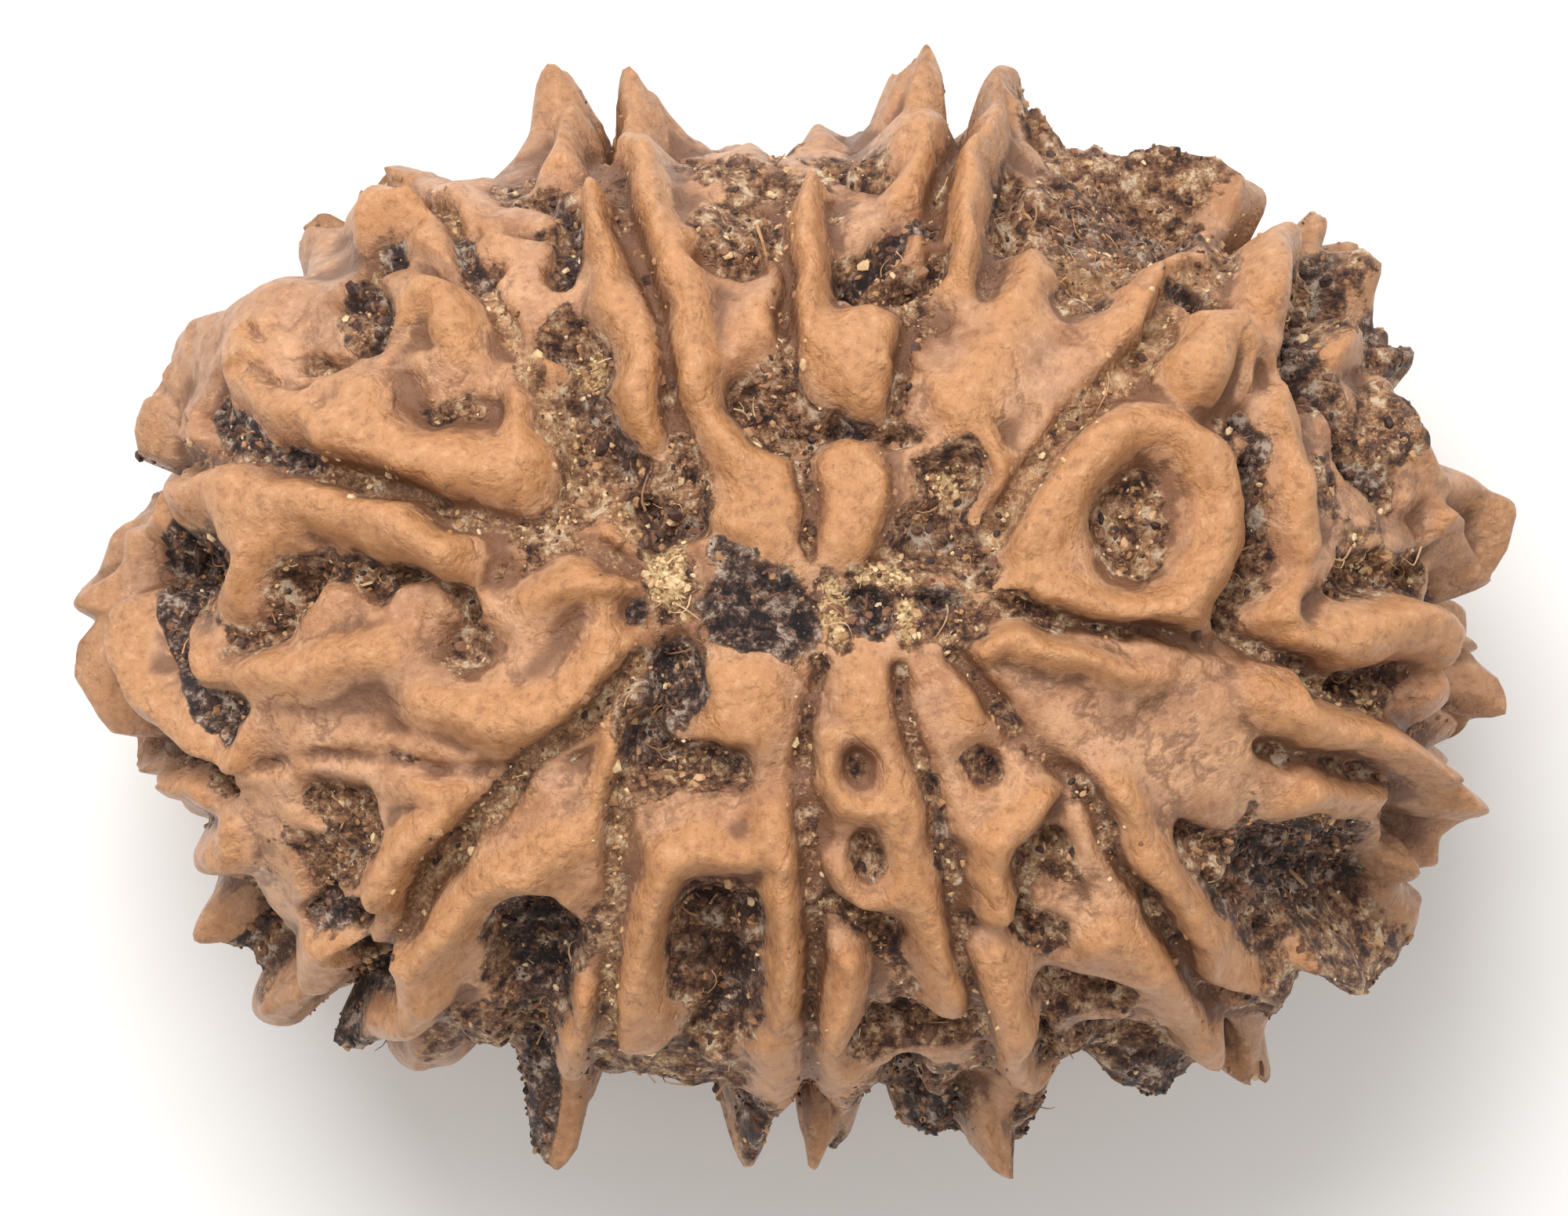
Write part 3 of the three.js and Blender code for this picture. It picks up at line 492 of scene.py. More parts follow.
# %% Patches of residue
CHAR_PATCHES = [
    (-1.5, -1, 8, 7, 1), (-5, 7, 3, 2.5, 1), (12, -1, 4, 4, 0.9), (21, 2, 3, 2, 0.9), (-18, 0, 3, 3, 0.8),
    (-12, -9, 5, 6, 0.9), (-16, -16, 3, 4, 0.8), (-19, 21, 3, 4, 0.7), (42, 51, 4, 2, 0.6),
    (50, 53, 5, 3, 0.6), (55, 43, 3, 4, 0.5), (49, -62, 5, 4, 0.9), (26, 12, 2, 4, 0.5),
    (-29, -58, 4, 6, 0.9), (-2, -61, 3, 4, 0.7), (7, -63, 3, 4, 0.7), (20, -61, 4, 4, 0.9),
    (32, -62, 3, 4, 0.5), (-53, -54, 4, 4, 0.8),
]
CREAM_PATCHES = [
    (-12.5, 3.5, 4.5, 4, 0.9), (7.5, 0, 2.5, 6, 0.9), (14, 4, 4, 2, 0.8), (17.5, -1.5, 2, 4, 0.8),
    (23.5, -2, 2.5, 3.5, 0.45), (29.5, 1, 3, 2, 0.5), (22.5, 39.3, 2, 2, 0.9), (-24, 30, 4, 3, 0.7),
    (23, 16, 3, 3, 0.6), (-41, 24, 5, 2.5, 0.35), (70, -24, 4, 3, 0.7), (-16, -57, 4, 4, 0.6),
    (-30, -54, 3, 2.5, 0.8), (52, -58, 4, 3, 0.5), (77, 9, 7, 5, 0.6), (-10, -20, 6, 2, 0.5),
    (-20, -48, 2, 8, 0.5),
]
GOLD_PATCHES = [
    (39, 25, 10, 8, 0.8), (-25, 17, 6, 8, 0.7), (24, 33, 7, 4, 0.7), (41, 44, 7, 5, 0.9),
    (36, -31, 6, 8, 0.7), (9, -41, 5, 6, 0.7), (72, -13, 13, 4, 0.6), (-20, -35, 4, 12, 0.6),
    (-34, -23, 7, 6, 0.6), (-56, 15, 14, 3, 0.7), (46, 10, 6, 9, 0.6), (48, -38, 5, 9, 0.5),
    (12, 42, 5, 3, 0.6), (-56, -28, 6, 7, 0.5), (0, 25, 5, 4, 0.4),
]
ROUGH_PATCHES = [
    (-5, 46, 4.5, 5, 1), (-8, 54, 4, 3, 0.8), (46, 54, 15, 5, 1), (69, 38, 4.5, 7, 1), (76, 32, 4, 6, 0.9),
    (76, 22, 4, 5, 0.9), (10, 54, 5, 3, 0.8), (34, 61, 3, 4, 0.9), (-50.5, 34, 3, 4, 0.8),
    (62, -46, 5, 5, 0.7), (72, -42, 9, 6, 0.8), (16, -60, 9, 5, 0.8), (-12, -57, 9, 5, 0.8),
    (44, -56, 9, 5, 0.8), (-40, -54, 7, 4, 0.6), (-29, -59, 3, 5, 1), (-2, -61, 3, 4, 0.9),
    (7, -62, 3, 4, 0.9), (20, -61, 4, 4, 1), (32, -61, 3, 4, 0.9), (-12.5, 3.5, 4, 3.5, 1),
    (7.5, 0, 2.5, 5.5, 1), (14, 4, 4, 2, 1), (17.5, -1, 2.5, 3.5, 1), (23.5, -1, 3, 3.5, 1),
    (29, 1, 2.5, 1.5, 0.8), (-17, -11, 3, 6, 0.9), (-14, 8, 4, 3, 0.9), (20, 9, 6, 4, 1), (23, 17, 4, 4, 1),
    (-53, -54, 4, 3, 0.8), (-64, -42, 4, 4, 0.8), (49, -61, 4, 4, 0.8), (32, 62, 2, 4, 0.8),
]
print(len(CHAR_PATCHES) + len(CREAM_PATCHES) + len(GOLD_PATCHES) + len(ROUGH_PATCHES), "patches")

# %% [markdown]
# The side that lies on the table grew in the same way, so it repeats the plan below the widest line,
# swaying a little aside towards the lower pole so that it isn't a plain mirror copy.

# %% Both sides of each feature
UNDERSIDE_WANDER = 5
UNDERSIDE_LOWERING = 0.12
SWAY_X = (0.21, 0.13)
SWAY_Y = (0.17, -0.11)


def below(spots, heights):
    """The same course on the underside, swayed aside."""
    depth = spots[:, 2] / RADII[2]
    sway_x = np.sin(SWAY_X[0] * spots[:, 0] + SWAY_X[1] * spots[:, 1])
    sway_y = np.cos(SWAY_Y[0] * spots[:, 0] + SWAY_Y[1] * spots[:, 1])
    sway = np.column_stack([sway_x, sway_y]) * (UNDERSIDE_WANDER * depth)[:, None]
    lowered = lift(spots[:, :2] + sway)
    return lowered * (1, 1, -1), heights * (1 - UNDERSIDE_LOWERING * depth)


def both_sides(course):
    upper = place(course)
    return [upper, below(*upper)]


print("lower copies wander up to", UNDERSIDE_WANDER, "steps")

# %% [markdown]
# Ridges and furrows don't stop on the slope: they run down to the widest line, where the copy from
# below meets them. So a course that ends on the slope gets two more points, the last one at that line.

# %% Courses carried over the side
SIDE_CREST = 2.4
SIDE_REACH = 0.65


def over_the_side(side):
    """Carries a ridge that ends on the slope down to the widest line, where the copy from below meets it."""
    spots, heights = side
    if abs(spots[0, 2]) < abs(spots[-1, 2]):
        spots, heights = spots[::-1], heights[::-1]
    if 0 < abs(spots[-1, 2]) / RADII[2] < SIDE_REACH:
        edge = on_body(spots[-1:] * (1, 1, 0))
        middle = on_body((spots[-1:] + edge) / 2)
        spots = np.vstack([spots, middle, edge])
        heights = np.append(heights, [(heights[-1] + SIDE_CREST) / 2, SIDE_CREST])
    return spots, heights


def flat_course(course):
    return [(x, y, 0) for x, y in course]


FURROW_COURSES = []
FURROW_CRUMBS = []
for half, crumbs, course in FURROWS.values():
    for side in both_sides(flat_course(course)):
        FURROW_COURSES.append((half, over_the_side(side)))
        FURROW_CRUMBS.append(crumbs)
CREASE_COURSE = (CREASE[0], place(flat_course(CREASE[1])))
RIDGE_COURSES = [
    (half, over_the_side(side)) for half, course in RIDGES.values() for side in both_sides(course)
]
TROUGH_COURSES = [
    (half, depth, char, side)
    for half, depth, char, course in TROUGHS.values()
    for side in both_sides([(x, y, SKIN_HEIGHT) for x, y in course])
]
print(len(RIDGE_COURSES), "ridge courses on both sides")

# %% [markdown]
# Nothing on the stone is perfectly even, so a smooth random field is needed. It blends random values
# at the corners of a cubic lattice, and always gives the same value at the same place.

# %% A smooth random field
CELL_STRIDES = np.array([73856093, 19349663, 83492791])
SEED_STRIDE = 974634777
SCRAMBLER = 1274126177
LOW_BITS = 0x7FFFFFFF
LEVELS = 65536
SEED_SHIFT = 0.37


def lattice_value(cells, seed):
    """A scrambled but repeatable value from -1 to 1 for each cell of the lattice."""
    mixed = (cells * CELL_STRIDES).sum(-1) + seed * SEED_STRIDE
    mixed = ((mixed ^ (mixed >> 13)) * SCRAMBLER) & LOW_BITS
    return ((mixed ^ (mixed >> 16)) % LEVELS) / ((LEVELS - 1) / 2) - 1


def wobble(points, size, seed):
    """Smooth noise from -1 to 1 at each point, with features of about the given size in steps."""
    scaled = points / size + SEED_SHIFT * seed
    cells = np.floor(scaled).astype(np.int64)
    share = scaled - cells
    share = share * share * (3 - 2 * share)
    total = np.zeros(len(points))
    for corner in np.ndindex(2, 2, 2):
        weight = np.prod(np.where(corner, share, 1 - share), axis=1)
        total += weight * lattice_value(cells + corner, seed)
    return total


def layered(points, layers):
    """Several layers of noise added up. Each layer is (size, amount, seed)."""
    return sum(amount * wobble(points, size, seed) for size, amount, seed in layers)


print("noise at the origin", round(float(wobble(np.zeros((1, 3)), 1, 1)[0]), 3))

# %% [markdown]
# The skin is shaped as in clay, by a few soft tools. A bell is the stroke's fall-off from its middle.
# Raising brings the surface up to a level, lowering brings it down, and both leave alone what is
# already past it, so strokes that cross don't pile up.

# %% Soft tools
def smooth_step(values, low, high):
    share = np.clip((values - low) / (high - low), 0, 1)
    return share * share * (3 - 2 * share)


def smooth_max(a, b, blend):
    overlap = np.clip(blend - np.abs(a - b), 0, None) / blend
    return np.maximum(a, b) + overlap * overlap * blend / 4


def bell(share, flatness=2.6):
    """1 in the middle, falling smoothly to 0 at a share of 1. A higher flatness makes a broader top."""
    return (1 - np.clip(share, 0, 1) ** flatness) ** 2


def raise_to(height, top, weight):
    return height + np.clip(top - height, 0, None) * weight


def lower_to(height, floor, weight):
    return height - np.clip(height - floor, 0, None) * weight


def soft_patch(spots, centre, half_x, half_y, inner, outer):
    """1 inside an oval patch, falling smoothly to 0 outside it."""
    half_z = 2 * max(half_x, half_y)
    across = np.linalg.norm((spots - centre) / (half_x, half_y, half_z), axis=1)
    return 1 - smooth_step(across, inner, outer)


print("a bell is", np.round(bell(np.array([0, 0.5, 1])), 2), "at its middle, half way and edge")

# %% [markdown]
# A stroke's fall-off needs the distance to its course. Near the widest line, distance up and down
# counts for less, so that ridges end there as upright fins, as they do on the real stone. Warping the
# places by noise first keeps every outline from being a clean oval or line.

# %% Distance to a course
REACH = 14
SIDE_SQUASH = 0.45
FIN_RISE = 0.25
TINY = 1e-9
HALF_FURROW_SHARE = 0.6
WARPS = ((8, 1.2, 31), (3, 0.5, 41))


def near_course(spots, course):
    """Distance and crest height at the nearest point of a course, for the body points within reach."""
    feet, heights = course
    low, high = feet.min(0) - REACH, feet.max(0) + REACH
    chosen = np.flatnonzero(((spots > low) & (spots < high)).all(1))
    distance = np.full(len(chosen), np.inf)
    height = np.zeros(len(chosen))
    for start, end, from_height, to_height in zip(feet, feet[1:], heights, heights[1:]):
        along = end - start
        share = np.clip((spots[chosen] - start) @ along / (along @ along + TINY), 0, 1)
        foot = start + share[:, None] * along
        off = spots[chosen] - foot
        upright = smooth_step(np.abs(foot[:, 2]) / RADII[2], 0, FIN_RISE)
        off[:, 2] *= SIDE_SQUASH + (1 - SIDE_SQUASH) * upright
        gap = np.linalg.norm(off, axis=1)
        closer = gap < distance
        distance[closer] = gap[closer]
        height[closer] = (from_height + share * (to_height - from_height))[closer]
    return chosen, distance, height


def warped(spots):
    """The same spots pushed aside a little by noise, so that no outline stays a clean oval or line."""
    pushed = spots.copy()
    for size, amount, seed in WARPS:
        for axis in range(3):
            pushed[:, axis] += amount * wobble(spots, size, seed + axis)
    return pushed


def furrow_distance(spots, courses):
    """Distance to the nearest furrow's floor."""
    nearest = np.full(len(spots), float(REACH))
    for half, course in courses:
        chosen, distance, _ = near_course(spots, course)
        nearest[chosen] = np.minimum(nearest[chosen], np.clip(distance - HALF_FURROW_SHARE * half, 0, None))
    return nearest


pole_spot = np.array([[0.0, 0.0, RADII[2]]])
print("from the pole to a furrow:", round(float(furrow_distance(pole_spot, FURROW_COURSES)[0]), 1), "steps")

# %% [markdown]
# Under all relief lies level ground. It falls away towards the widest line, where only fins and
# spines stand out. The plains and pits that break it are found on both sides of the stone.

# %% Ground, plains and pits
RIM_GROUND = 0.2
POLE_GROUND = 6.6
UP_FULL = 0.6


def upness(spots):
    """0 at the widest line and 1 well up either side."""
    return smooth_step(np.abs(spots[:, 2]) / RADII[2], 0, UP_FULL)


def ground_level(spots):
    return RIM_GROUND + (POLE_GROUND - RIM_GROUND) * upness(spots)


def pit_sides(name):
    x, y = PITS[name][:2]
    upper = place([(x, y, SKIN_HEIGHT)])
    sides = [upper[0][0]]
    if name not in POLE_PITS:
        sides.append(below(*upper)[0][0])
    return sides


PIT_CENTRES = {name: pit_sides(name) for name in PITS}


def plain_sides(x, y, half_x, half_y, height):
    upper = place([(x, y, height)])
    return [(sides[0][0], half_x, half_y, height - POLE_GROUND) for sides in (upper, below(*upper))]


PLAIN_SIDES = [side for plain in PLAINS for side in plain_sides(*plain)]
print("ground at the pole and at the rim:", POLE_GROUND, RIM_GROUND, "steps")

# %% [markdown]
# The height of the skin at any body point is found in layers: plains and ridges raised over the
# ground, pits and troughs sunk into it, and furrows cut last so that nothing bridges them. A low pad
# fills the furrows and pits round the lower pole, so that the stone has a flat spot to rest on.

# %% The height of the skin
PLAIN_EDGE = (0.6, 1.25)
SWELLING = (6, 0.18, 51)
RIDGE_SPREAD = 1.85
RIDGE_FLATNESS = 1.9
RIDGE_LIFT = 1.1
PIT_EDGE = (0.3, 1.2)
TROUGH_SPREAD = 1.5
CREASE_FLOOR = 7
GROOVE_WIDTH = 1.5
GROOVE_WIDTH_NOISE = (5, 0.5, 52)
GROOVE_FLOOR_AT_RIM = -2.6
GROOVE_FLOOR_AT_POLE = 6.4
GROOVE_FLOOR_NOISE = (3, 0.8, 11)
REST_PAD = (20, 9.5, 0.8)
PAD_BLEND = 1.8


def skin_height(spots):
    """How far the skin stands out from each body point, before the fine roughness."""
    up = upness(spots)
    moved = warped(spots)
    height = ground_level(spots)
    level = height.copy()
    for centre, half_x, half_y, rise in PLAIN_SIDES:
        height = raise_to(height, level + rise, soft_patch(moved, centre, half_x, half_y, *PLAIN_EDGE))
    swelling = 1 + layered(spots, [SWELLING])
    for half, course in RIDGE_COURSES:
        chosen, distance, top = near_course(moved, course)
        weight = bell(distance / (RIDGE_SPREAD * half * swelling[chosen]), RIDGE_FLATNESS)
        height[chosen] = raise_to(height[chosen], top + RIDGE_LIFT * up[chosen], weight)
    for name, centres in PIT_CENTRES.items():
        _, _, half_x, half_y, depth, _ = PITS[name]
        for centre in centres:
            height -= depth * soft_patch(moved, centre, half_x, half_y, *PIT_EDGE)
    for half, depth, _, course in TROUGH_COURSES:
        chosen, distance, _ = near_course(moved, course)
        height[chosen] -= depth * bell(distance / (TROUGH_SPREAD * half * swelling[chosen]))
    crease = bell(furrow_distance(moved, [CREASE_COURSE]) / GROOVE_WIDTH)
    height = lower_to(height, CREASE_FLOOR, crease)
    floor = GROOVE_FLOOR_AT_RIM + (GROOVE_FLOOR_AT_POLE - GROOVE_FLOOR_AT_RIM) * up
    width = GROOVE_WIDTH + layered(spots, [GROOVE_WIDTH_NOISE])
    groove = bell(furrow_distance(moved, FURROW_COURSES) / width)
    height = lower_to(height, floor + layered(spots, [GROOVE_FLOOR_NOISE]), groove)
    pad_radius, pad_height, pad_slope = REST_PAD
    from_pole = np.linalg.norm(spots[:, :2], axis=1)
    pad = pad_height - pad_slope * np.clip(from_pole - pad_radius, 0, None)
    under = spots[:, 2] < 0
    height[under] = smooth_max(height[under], pad[under], PAD_BLEND)
    return height


print("skin height at the pole", round(float(skin_height(pole_spot)[0]), 1), "steps")

# %% [markdown]
# Masks say where the pulp, cream and gold lie. They are soft patches broken up by noise, and they
# drive both the roughness of the surface and its colour.

# %% Masks
PATCH_EDGE = (0.5, 1.35)
CRUMB_FURROW_WIDTH = 2
CHAR_PATCH_STRENGTH = 0.85
CHAR_PIT_EDGE = (0.4, 1.1)
CHAR_TROUGH_SPREAD = 1.4


def patch_mask(spots, patches):
    """The strongest of a list of patches, on both sides of the stone."""
    mask = np.zeros(len(spots))
    spots = warped(spots)
    for x, y, half_x, half_y, strength in patches:
        upper = place([(x, y, SKIN_HEIGHT)])
        for centre in (upper[0][0], below(*upper)[0][0]):
            mask = np.maximum(mask, strength * soft_patch(spots, centre, half_x, half_y, *PATCH_EDGE))
    return mask


def crumb_furrow_mask(spots):
    """1 in the middle of a furrow that is full of crumbs, and 0 two steps away from any."""
    mask = np.zeros(len(spots))
    spots = warped(spots)
    for (half, course), crumbs in zip(FURROW_COURSES, FURROW_CRUMBS):
        chosen, distance, _ = near_course(spots, course)
        nearness = 1 - np.clip((distance - HALF_FURROW_SHARE * half) / CRUMB_FURROW_WIDTH, 0, 1)
        mask[chosen] = np.maximum(mask[chosen], crumbs * nearness)
    return mask


def char_mask(spots):
    """1 where the pulp is black, from the patches and from the char of each pit and trough."""
    mask = CHAR_PATCH_STRENGTH * patch_mask(spots, CHAR_PATCHES)
    spots = warped(spots)
    for name, centres in PIT_CENTRES.items():
        _, _, half_x, half_y, _, char = PITS[name]
        for centre in centres:
            mask = np.maximum(mask, char * soft_patch(spots, centre, half_x, half_y, *CHAR_PIT_EDGE))
    for half, _, char, course in TROUGH_COURSES:
        chosen, distance, _ = near_course(spots, course)
        mask[chosen] = np.maximum(mask[chosen], char * bell(distance / (CHAR_TROUGH_SPREAD * half)))
    return mask


print("char at the pole", round(float(char_mask(pole_spot)[0]), 2))

# %% [markdown]
# The stone starts as an icosphere, because its faces are all alike and it has no pinched poles. Each
# vertex is carried on to the body and out to its skin height, like a sculptor's clay pulled over an
# armature. Noise then roughens it, most of all where there is pulp.

# %% Sculpting the stone
SUBDIVISIONS = 8
MOST_TRIANGLES = 190000
LOW_GROUND_EDGE = (-1.4, 0.9)
LOW_CHAR_EDGE = (-2.2, -0.4)
EDGE_NOISE = ((4, 1.3, 21), (1.5, 0.7, 22))
SKIN_NOISE = ((8, 0.7, 1), (4, 0.4, 2), (2, 0.2, 5))
PULP_NOISE = ((4.5, 1.2, 7), (2.4, 1.0, 3), (1.3, 0.8, 4))


def rough_mask(spots, height):
    """1 on low, crumbly ground and 0 on smooth skin, with a broken edge."""
    edge = height - ground_level(spots) + layered(spots, EDGE_NOISE)
    low_ground = np.maximum(1 - smooth_step(edge, *LOW_GROUND_EDGE), patch_mask(spots, ROUGH_PATCHES))
    return np.maximum(low_ground, char_mask(spots) * smooth_step(-edge, *LOW_CHAR_EDGE))


def surface_height(spots):
    """The height of the finished surface with its roughness, and the rough mask."""
    height = skin_height(spots)
    rough = rough_mask(spots, height)
    height = height + layered(spots, SKIN_NOISE)
    return height + rough * layered(spots, PULP_NOISE), rough


def deselect_all():
    bpy.ops.object.select_all(action="DESELECT")


deselect_all()
bpy.ops.mesh.primitive_ico_sphere_add(subdivisions=SUBDIVISIONS, radius=1)
stone = bpy.context.object
stone.name = "rudraksha_stone_skin"
directions = np.empty(len(stone.data.vertices) * 3, np.float32)
stone.data.vertices.foreach_get("co", directions)
spots = on_body(directions.reshape(-1, 3).astype(float) * RADII)
skin = spots + surface_height(spots)[0][:, None] * outward(spots)
skin[:, 2] = np.maximum(skin[:, 2], REST_LEVEL)
stone.data.vertices.foreach_set("co", skin.astype(np.float32).ravel())
stone.data.update()
print("stone before thinning:", len(stone.data.polygons), "triangles")

# %% [markdown]
# The sculpted sphere has more faces than it needs. A Decimate modifier takes them away where the skin
# is nearly flat, and it is applied at once, because the masks below are worked out for each vertex.

# %% Thinning the mesh
decimate = stone.modifiers.new("thin", "DECIMATE")
decimate.ratio = min(1, MOST_TRIANGLES / len(stone.data.polygons))
bpy.ops.object.modifier_apply(modifier="thin")
bpy.ops.object.shade_smooth()
print("stone after thinning:", len(stone.data.polygons), "triangles")

# %% [markdown]
# Three small helpers read and write the thinned mesh. Each vertex is traced back to the body point
# below it, heights are averaged with those of their neighbours, and a mask is stored as a vertex
# attribute, which carries it into the material.

# %% Tracing back and averaging
TRACE_ROUNDS = 8


def trace_back(points):
    """The body point below each surface point, and the height between them."""
    spots = on_body(points)
    for _ in range(TRACE_ROUNDS):
        normals = outward(spots)
        height = ((points - spots) * normals).sum(1)
        spots = on_body(points - height[:, None] * normals)
    return spots, height


def neighbour_average(values, edges, counts):
    total = np.bincount(edges[:, 0], values[edges[:, 1]], len(values))
    total += np.bincount(edges[:, 1], values[edges[:, 0]], len(values))
    return total / counts


def write_mask(mesh, name, values):
    layer = mesh.attributes.new(name, "FLOAT", "POINT")
    layer.data.foreach_set("value", np.clip(values, 0, 1).astype(np.float32))


print("the pole traced back from 5 steps up:", np.round(trace_back(pole_spot + (0, 0, 5))[0][0], 2))

# %% [markdown]
# Two masks come from comparing each vertex's height with the average of its surroundings, near by for
# crests and farther round for folds: what stands proud is worn and bright, and what lies low is
# browned as painted shade with some dirt. The others are the plan's own masks, worked out again for
# the vertices that are left.

# %% Masks on the thinned mesh
CREST_ROUNDS = 12
CREST_SPAN = 3
FOLD_ROUNDS = 70
FOLD_SPAN = 7
STAIN_AT_GROUND = 0.66
STAIN_SPAN = 3.5
FURROW_SPAN = 2.2
points = np.empty(len(stone.data.vertices) * 3, np.float32)
stone.data.vertices.foreach_get("co", points)
points = points.reshape(-1, 3).astype(float)
spots, height = trace_back(points)
edges = np.empty(len(stone.data.edges) * 2, np.int32)
stone.data.edges.foreach_get("vertices", edges)
edges = edges.reshape(-1, 2)
counts = np.bincount(edges.ravel(), minlength=len(points))
average = height.copy()
for _ in range(CREST_ROUNDS):
    average = neighbour_average(average, edges, counts)
proud = height - average
for _ in range(FOLD_ROUNDS):
    average = neighbour_average(average, edges, counts)
near_furrow = furrow_distance(warped(spots), FURROW_COURSES)
write_mask(stone.data, "crest", 0.5 + proud / CREST_SPAN)
write_mask(stone.data, "fold", 0.5 + (height - average) / FOLD_SPAN)
# The lowness mask grows as the skin comes down to the ground level.
write_mask(stone.data, "lowness", STAIN_AT_GROUND - (height - ground_level(spots)) / STAIN_SPAN)
# The side mask browns the skin towards the widest line, as dust and as painted shade.
write_mask(stone.data, "side", 1 - np.abs(spots[:, 2]) / RADII[2])
write_mask(stone.data, "furrow", 1 - near_furrow / FURROW_SPAN)
write_mask(stone.data, "full_furrow", crumb_furrow_mask(spots))
write_mask(stone.data, "rough", surface_height(spots)[1])
write_mask(stone.data, "char", char_mask(spots))
write_mask(stone.data, "cream", patch_mask(spots, CREAM_PATCHES))
write_mask(stone.data, "gold", patch_mask(spots, GOLD_PATCHES))
print("proud from", round(float(proud.min()), 1), "to", round(float(proud.max()), 1), "steps")

# %% [markdown]
# The stone is brought from plan steps to metres, and into the box of the frame's own stone. The same
# scale and shift then serve everything that lies on it.

# %% Into the frame
raw_low, raw_high = points.min(0), points.max(0)
FIT_SCALE = (BOX_HIGH - BOX_LOW) / (raw_high - raw_low)
FIT_SHIFT = BOX_LOW - raw_low * FIT_SCALE


def to_frame(points):
    return points * FIT_SCALE + FIT_SHIFT


stone.data.vertices.foreach_set("co", to_frame(points).astype(np.float32).ravel())
stone.data.update()
print("fit scale, micrometres a step", np.round(FIT_SCALE * 1e6, 1))

# %% [markdown]
# The finish is a satin, woody skin. Colours are laid in coats, as a painter would: each coat goes on
# by a mask broken up with noise. Every pattern reads Object coordinates, so it stays put when the
# object or the camera moves. A small helper class keeps the node code short.

# %% A helper for materials
MILLIMETRE = 0.001


def linear(value):
    """One sRGB value from 0 to 255, as the linear light that Blender works in."""
    share = value / 255
    return share / 12.92 if share <= 0.04045 else ((share + 0.055) / 1.055) ** 2.4


def srgb(red, green, blue):
    return (linear(red), linear(green), linear(blue), 1)


class Finish:
    """A small helper that adds nodes to one material and links them."""

    def __init__(self, name):
        self.material = bpy.data.materials.new(name)
        self.material.use_nodes = True
        self.tree = self.material.node_tree
        self.shader = self.tree.nodes["Principled BSDF"]
        self.place = self.tree.nodes.new("ShaderNodeTexCoord").outputs["Object"]

    def link(self, value, socket):
        if isinstance(value, bpy.types.NodeSocket):
            self.tree.links.new(value, socket)
        else:
            socket.default_value = value

    def noise(self, size, detail=4, roughness=0.6):
        node = self.tree.nodes.new("ShaderNodeTexNoise")
        self.link(self.place, node.inputs["Vector"])
        node.inputs["Scale"].default_value = 1 / size
        node.inputs["Detail"].default_value = detail
        node.inputs["Roughness"].default_value = roughness
        return node.outputs["Fac"]

    def mask(self, name):
        node = self.tree.nodes.new("ShaderNodeAttribute")
        node.attribute_name = name
        return node.outputs["Fac"]

    def math(self, operation, first, second):
        node = self.tree.nodes.new("ShaderNodeMath")
        node.operation = operation
        self.link(first, node.inputs[0])
        self.link(second, node.inputs[1])
        return node.outputs[0]

    def ramp(self, value, low, high, to_low=0.0, to_high=1.0):
        node = self.tree.nodes.new("ShaderNodeMapRange")
        node.interpolation_type = "SMOOTHSTEP"
        self.link(value, node.inputs["Value"])
        node.inputs["From Min"].default_value = low
        node.inputs["From Max"].default_value = high
        node.inputs["To Min"].default_value = to_low
        node.inputs["To Max"].default_value = to_high
        return node.outputs["Result"]

    def tones(self, value, stops):
        node = self.tree.nodes.new("ShaderNodeValToRGB")
        while len(node.color_ramp.elements) < len(stops):
            node.color_ramp.elements.new(1)
        for element, (position, colour) in zip(node.color_ramp.elements, stops):
            element.position = position
            element.color = srgb(*colour)
        self.link(value, node.inputs["Fac"])
        return node.outputs["Color"]

    def mix(self, share, first, second):
        node = self.tree.nodes.new("ShaderNodeMix")
        node.data_type = "RGBA"
        self.link(share, node.inputs["Factor"])
        self.link(first, node.inputs[6])
        self.link(second, node.inputs[7])
        return node.outputs[2]

    def broken(self, value, noise, amount):
        """The value with noise added, so that its edge is no clean line."""
        centred = self.math("SUBTRACT", noise, 0.5)
        return self.math("ADD", value, self.math("MULTIPLY", centred, amount))

    def coat(self, under, over, value, none_at, full_at, strength=1.0):
        """Lays a colour over another one, from where the value says none to where it says full."""
        return self.mix(self.ramp(value, none_at, full_at, 0, strength), under, over)

    def bump(self, height, strength, distance):
        node = self.tree.nodes.new("ShaderNodeBump")
        self.link(height, node.inputs["Height"])
        node.inputs["Strength"].default_value = strength
        node.inputs["Distance"].default_value = distance
        self.link(node.outputs["Normal"], self.shader.inputs["Normal"])


print("middle grey in linear light", round(linear(128), 3))

# %% [markdown]
# The clean skin comes first. It isn't one colour: broad lighter and darker areas, a paler bloom, dusty
# sides with painted shade, orange worn crests and folds browned as painted shade with some dirt, and
# then a mottle of freckles and painted glints. Fine cracks run over it where a noise crosses its middle
# value, which draws thin winding lines, browned as painted shade.

# %% The clean skin
SKIN_DARK = srgb(170, 118, 80)
SKIN_LIGHT = srgb(208, 158, 118)
SKIN_VEIL = srgb(198, 152, 120)
CREST_COLOUR = srgb(192, 136, 88)
FOLD_SHADE_AND_FRECKLE = srgb(130, 86, 56)
PAINTED_GLINT = srgb(222, 176, 136)
DUST_AND_SIDE_SHADE = srgb(150, 112, 84)
DIRT_AND_HOLLOW_SHADE = srgb(112, 74, 50)


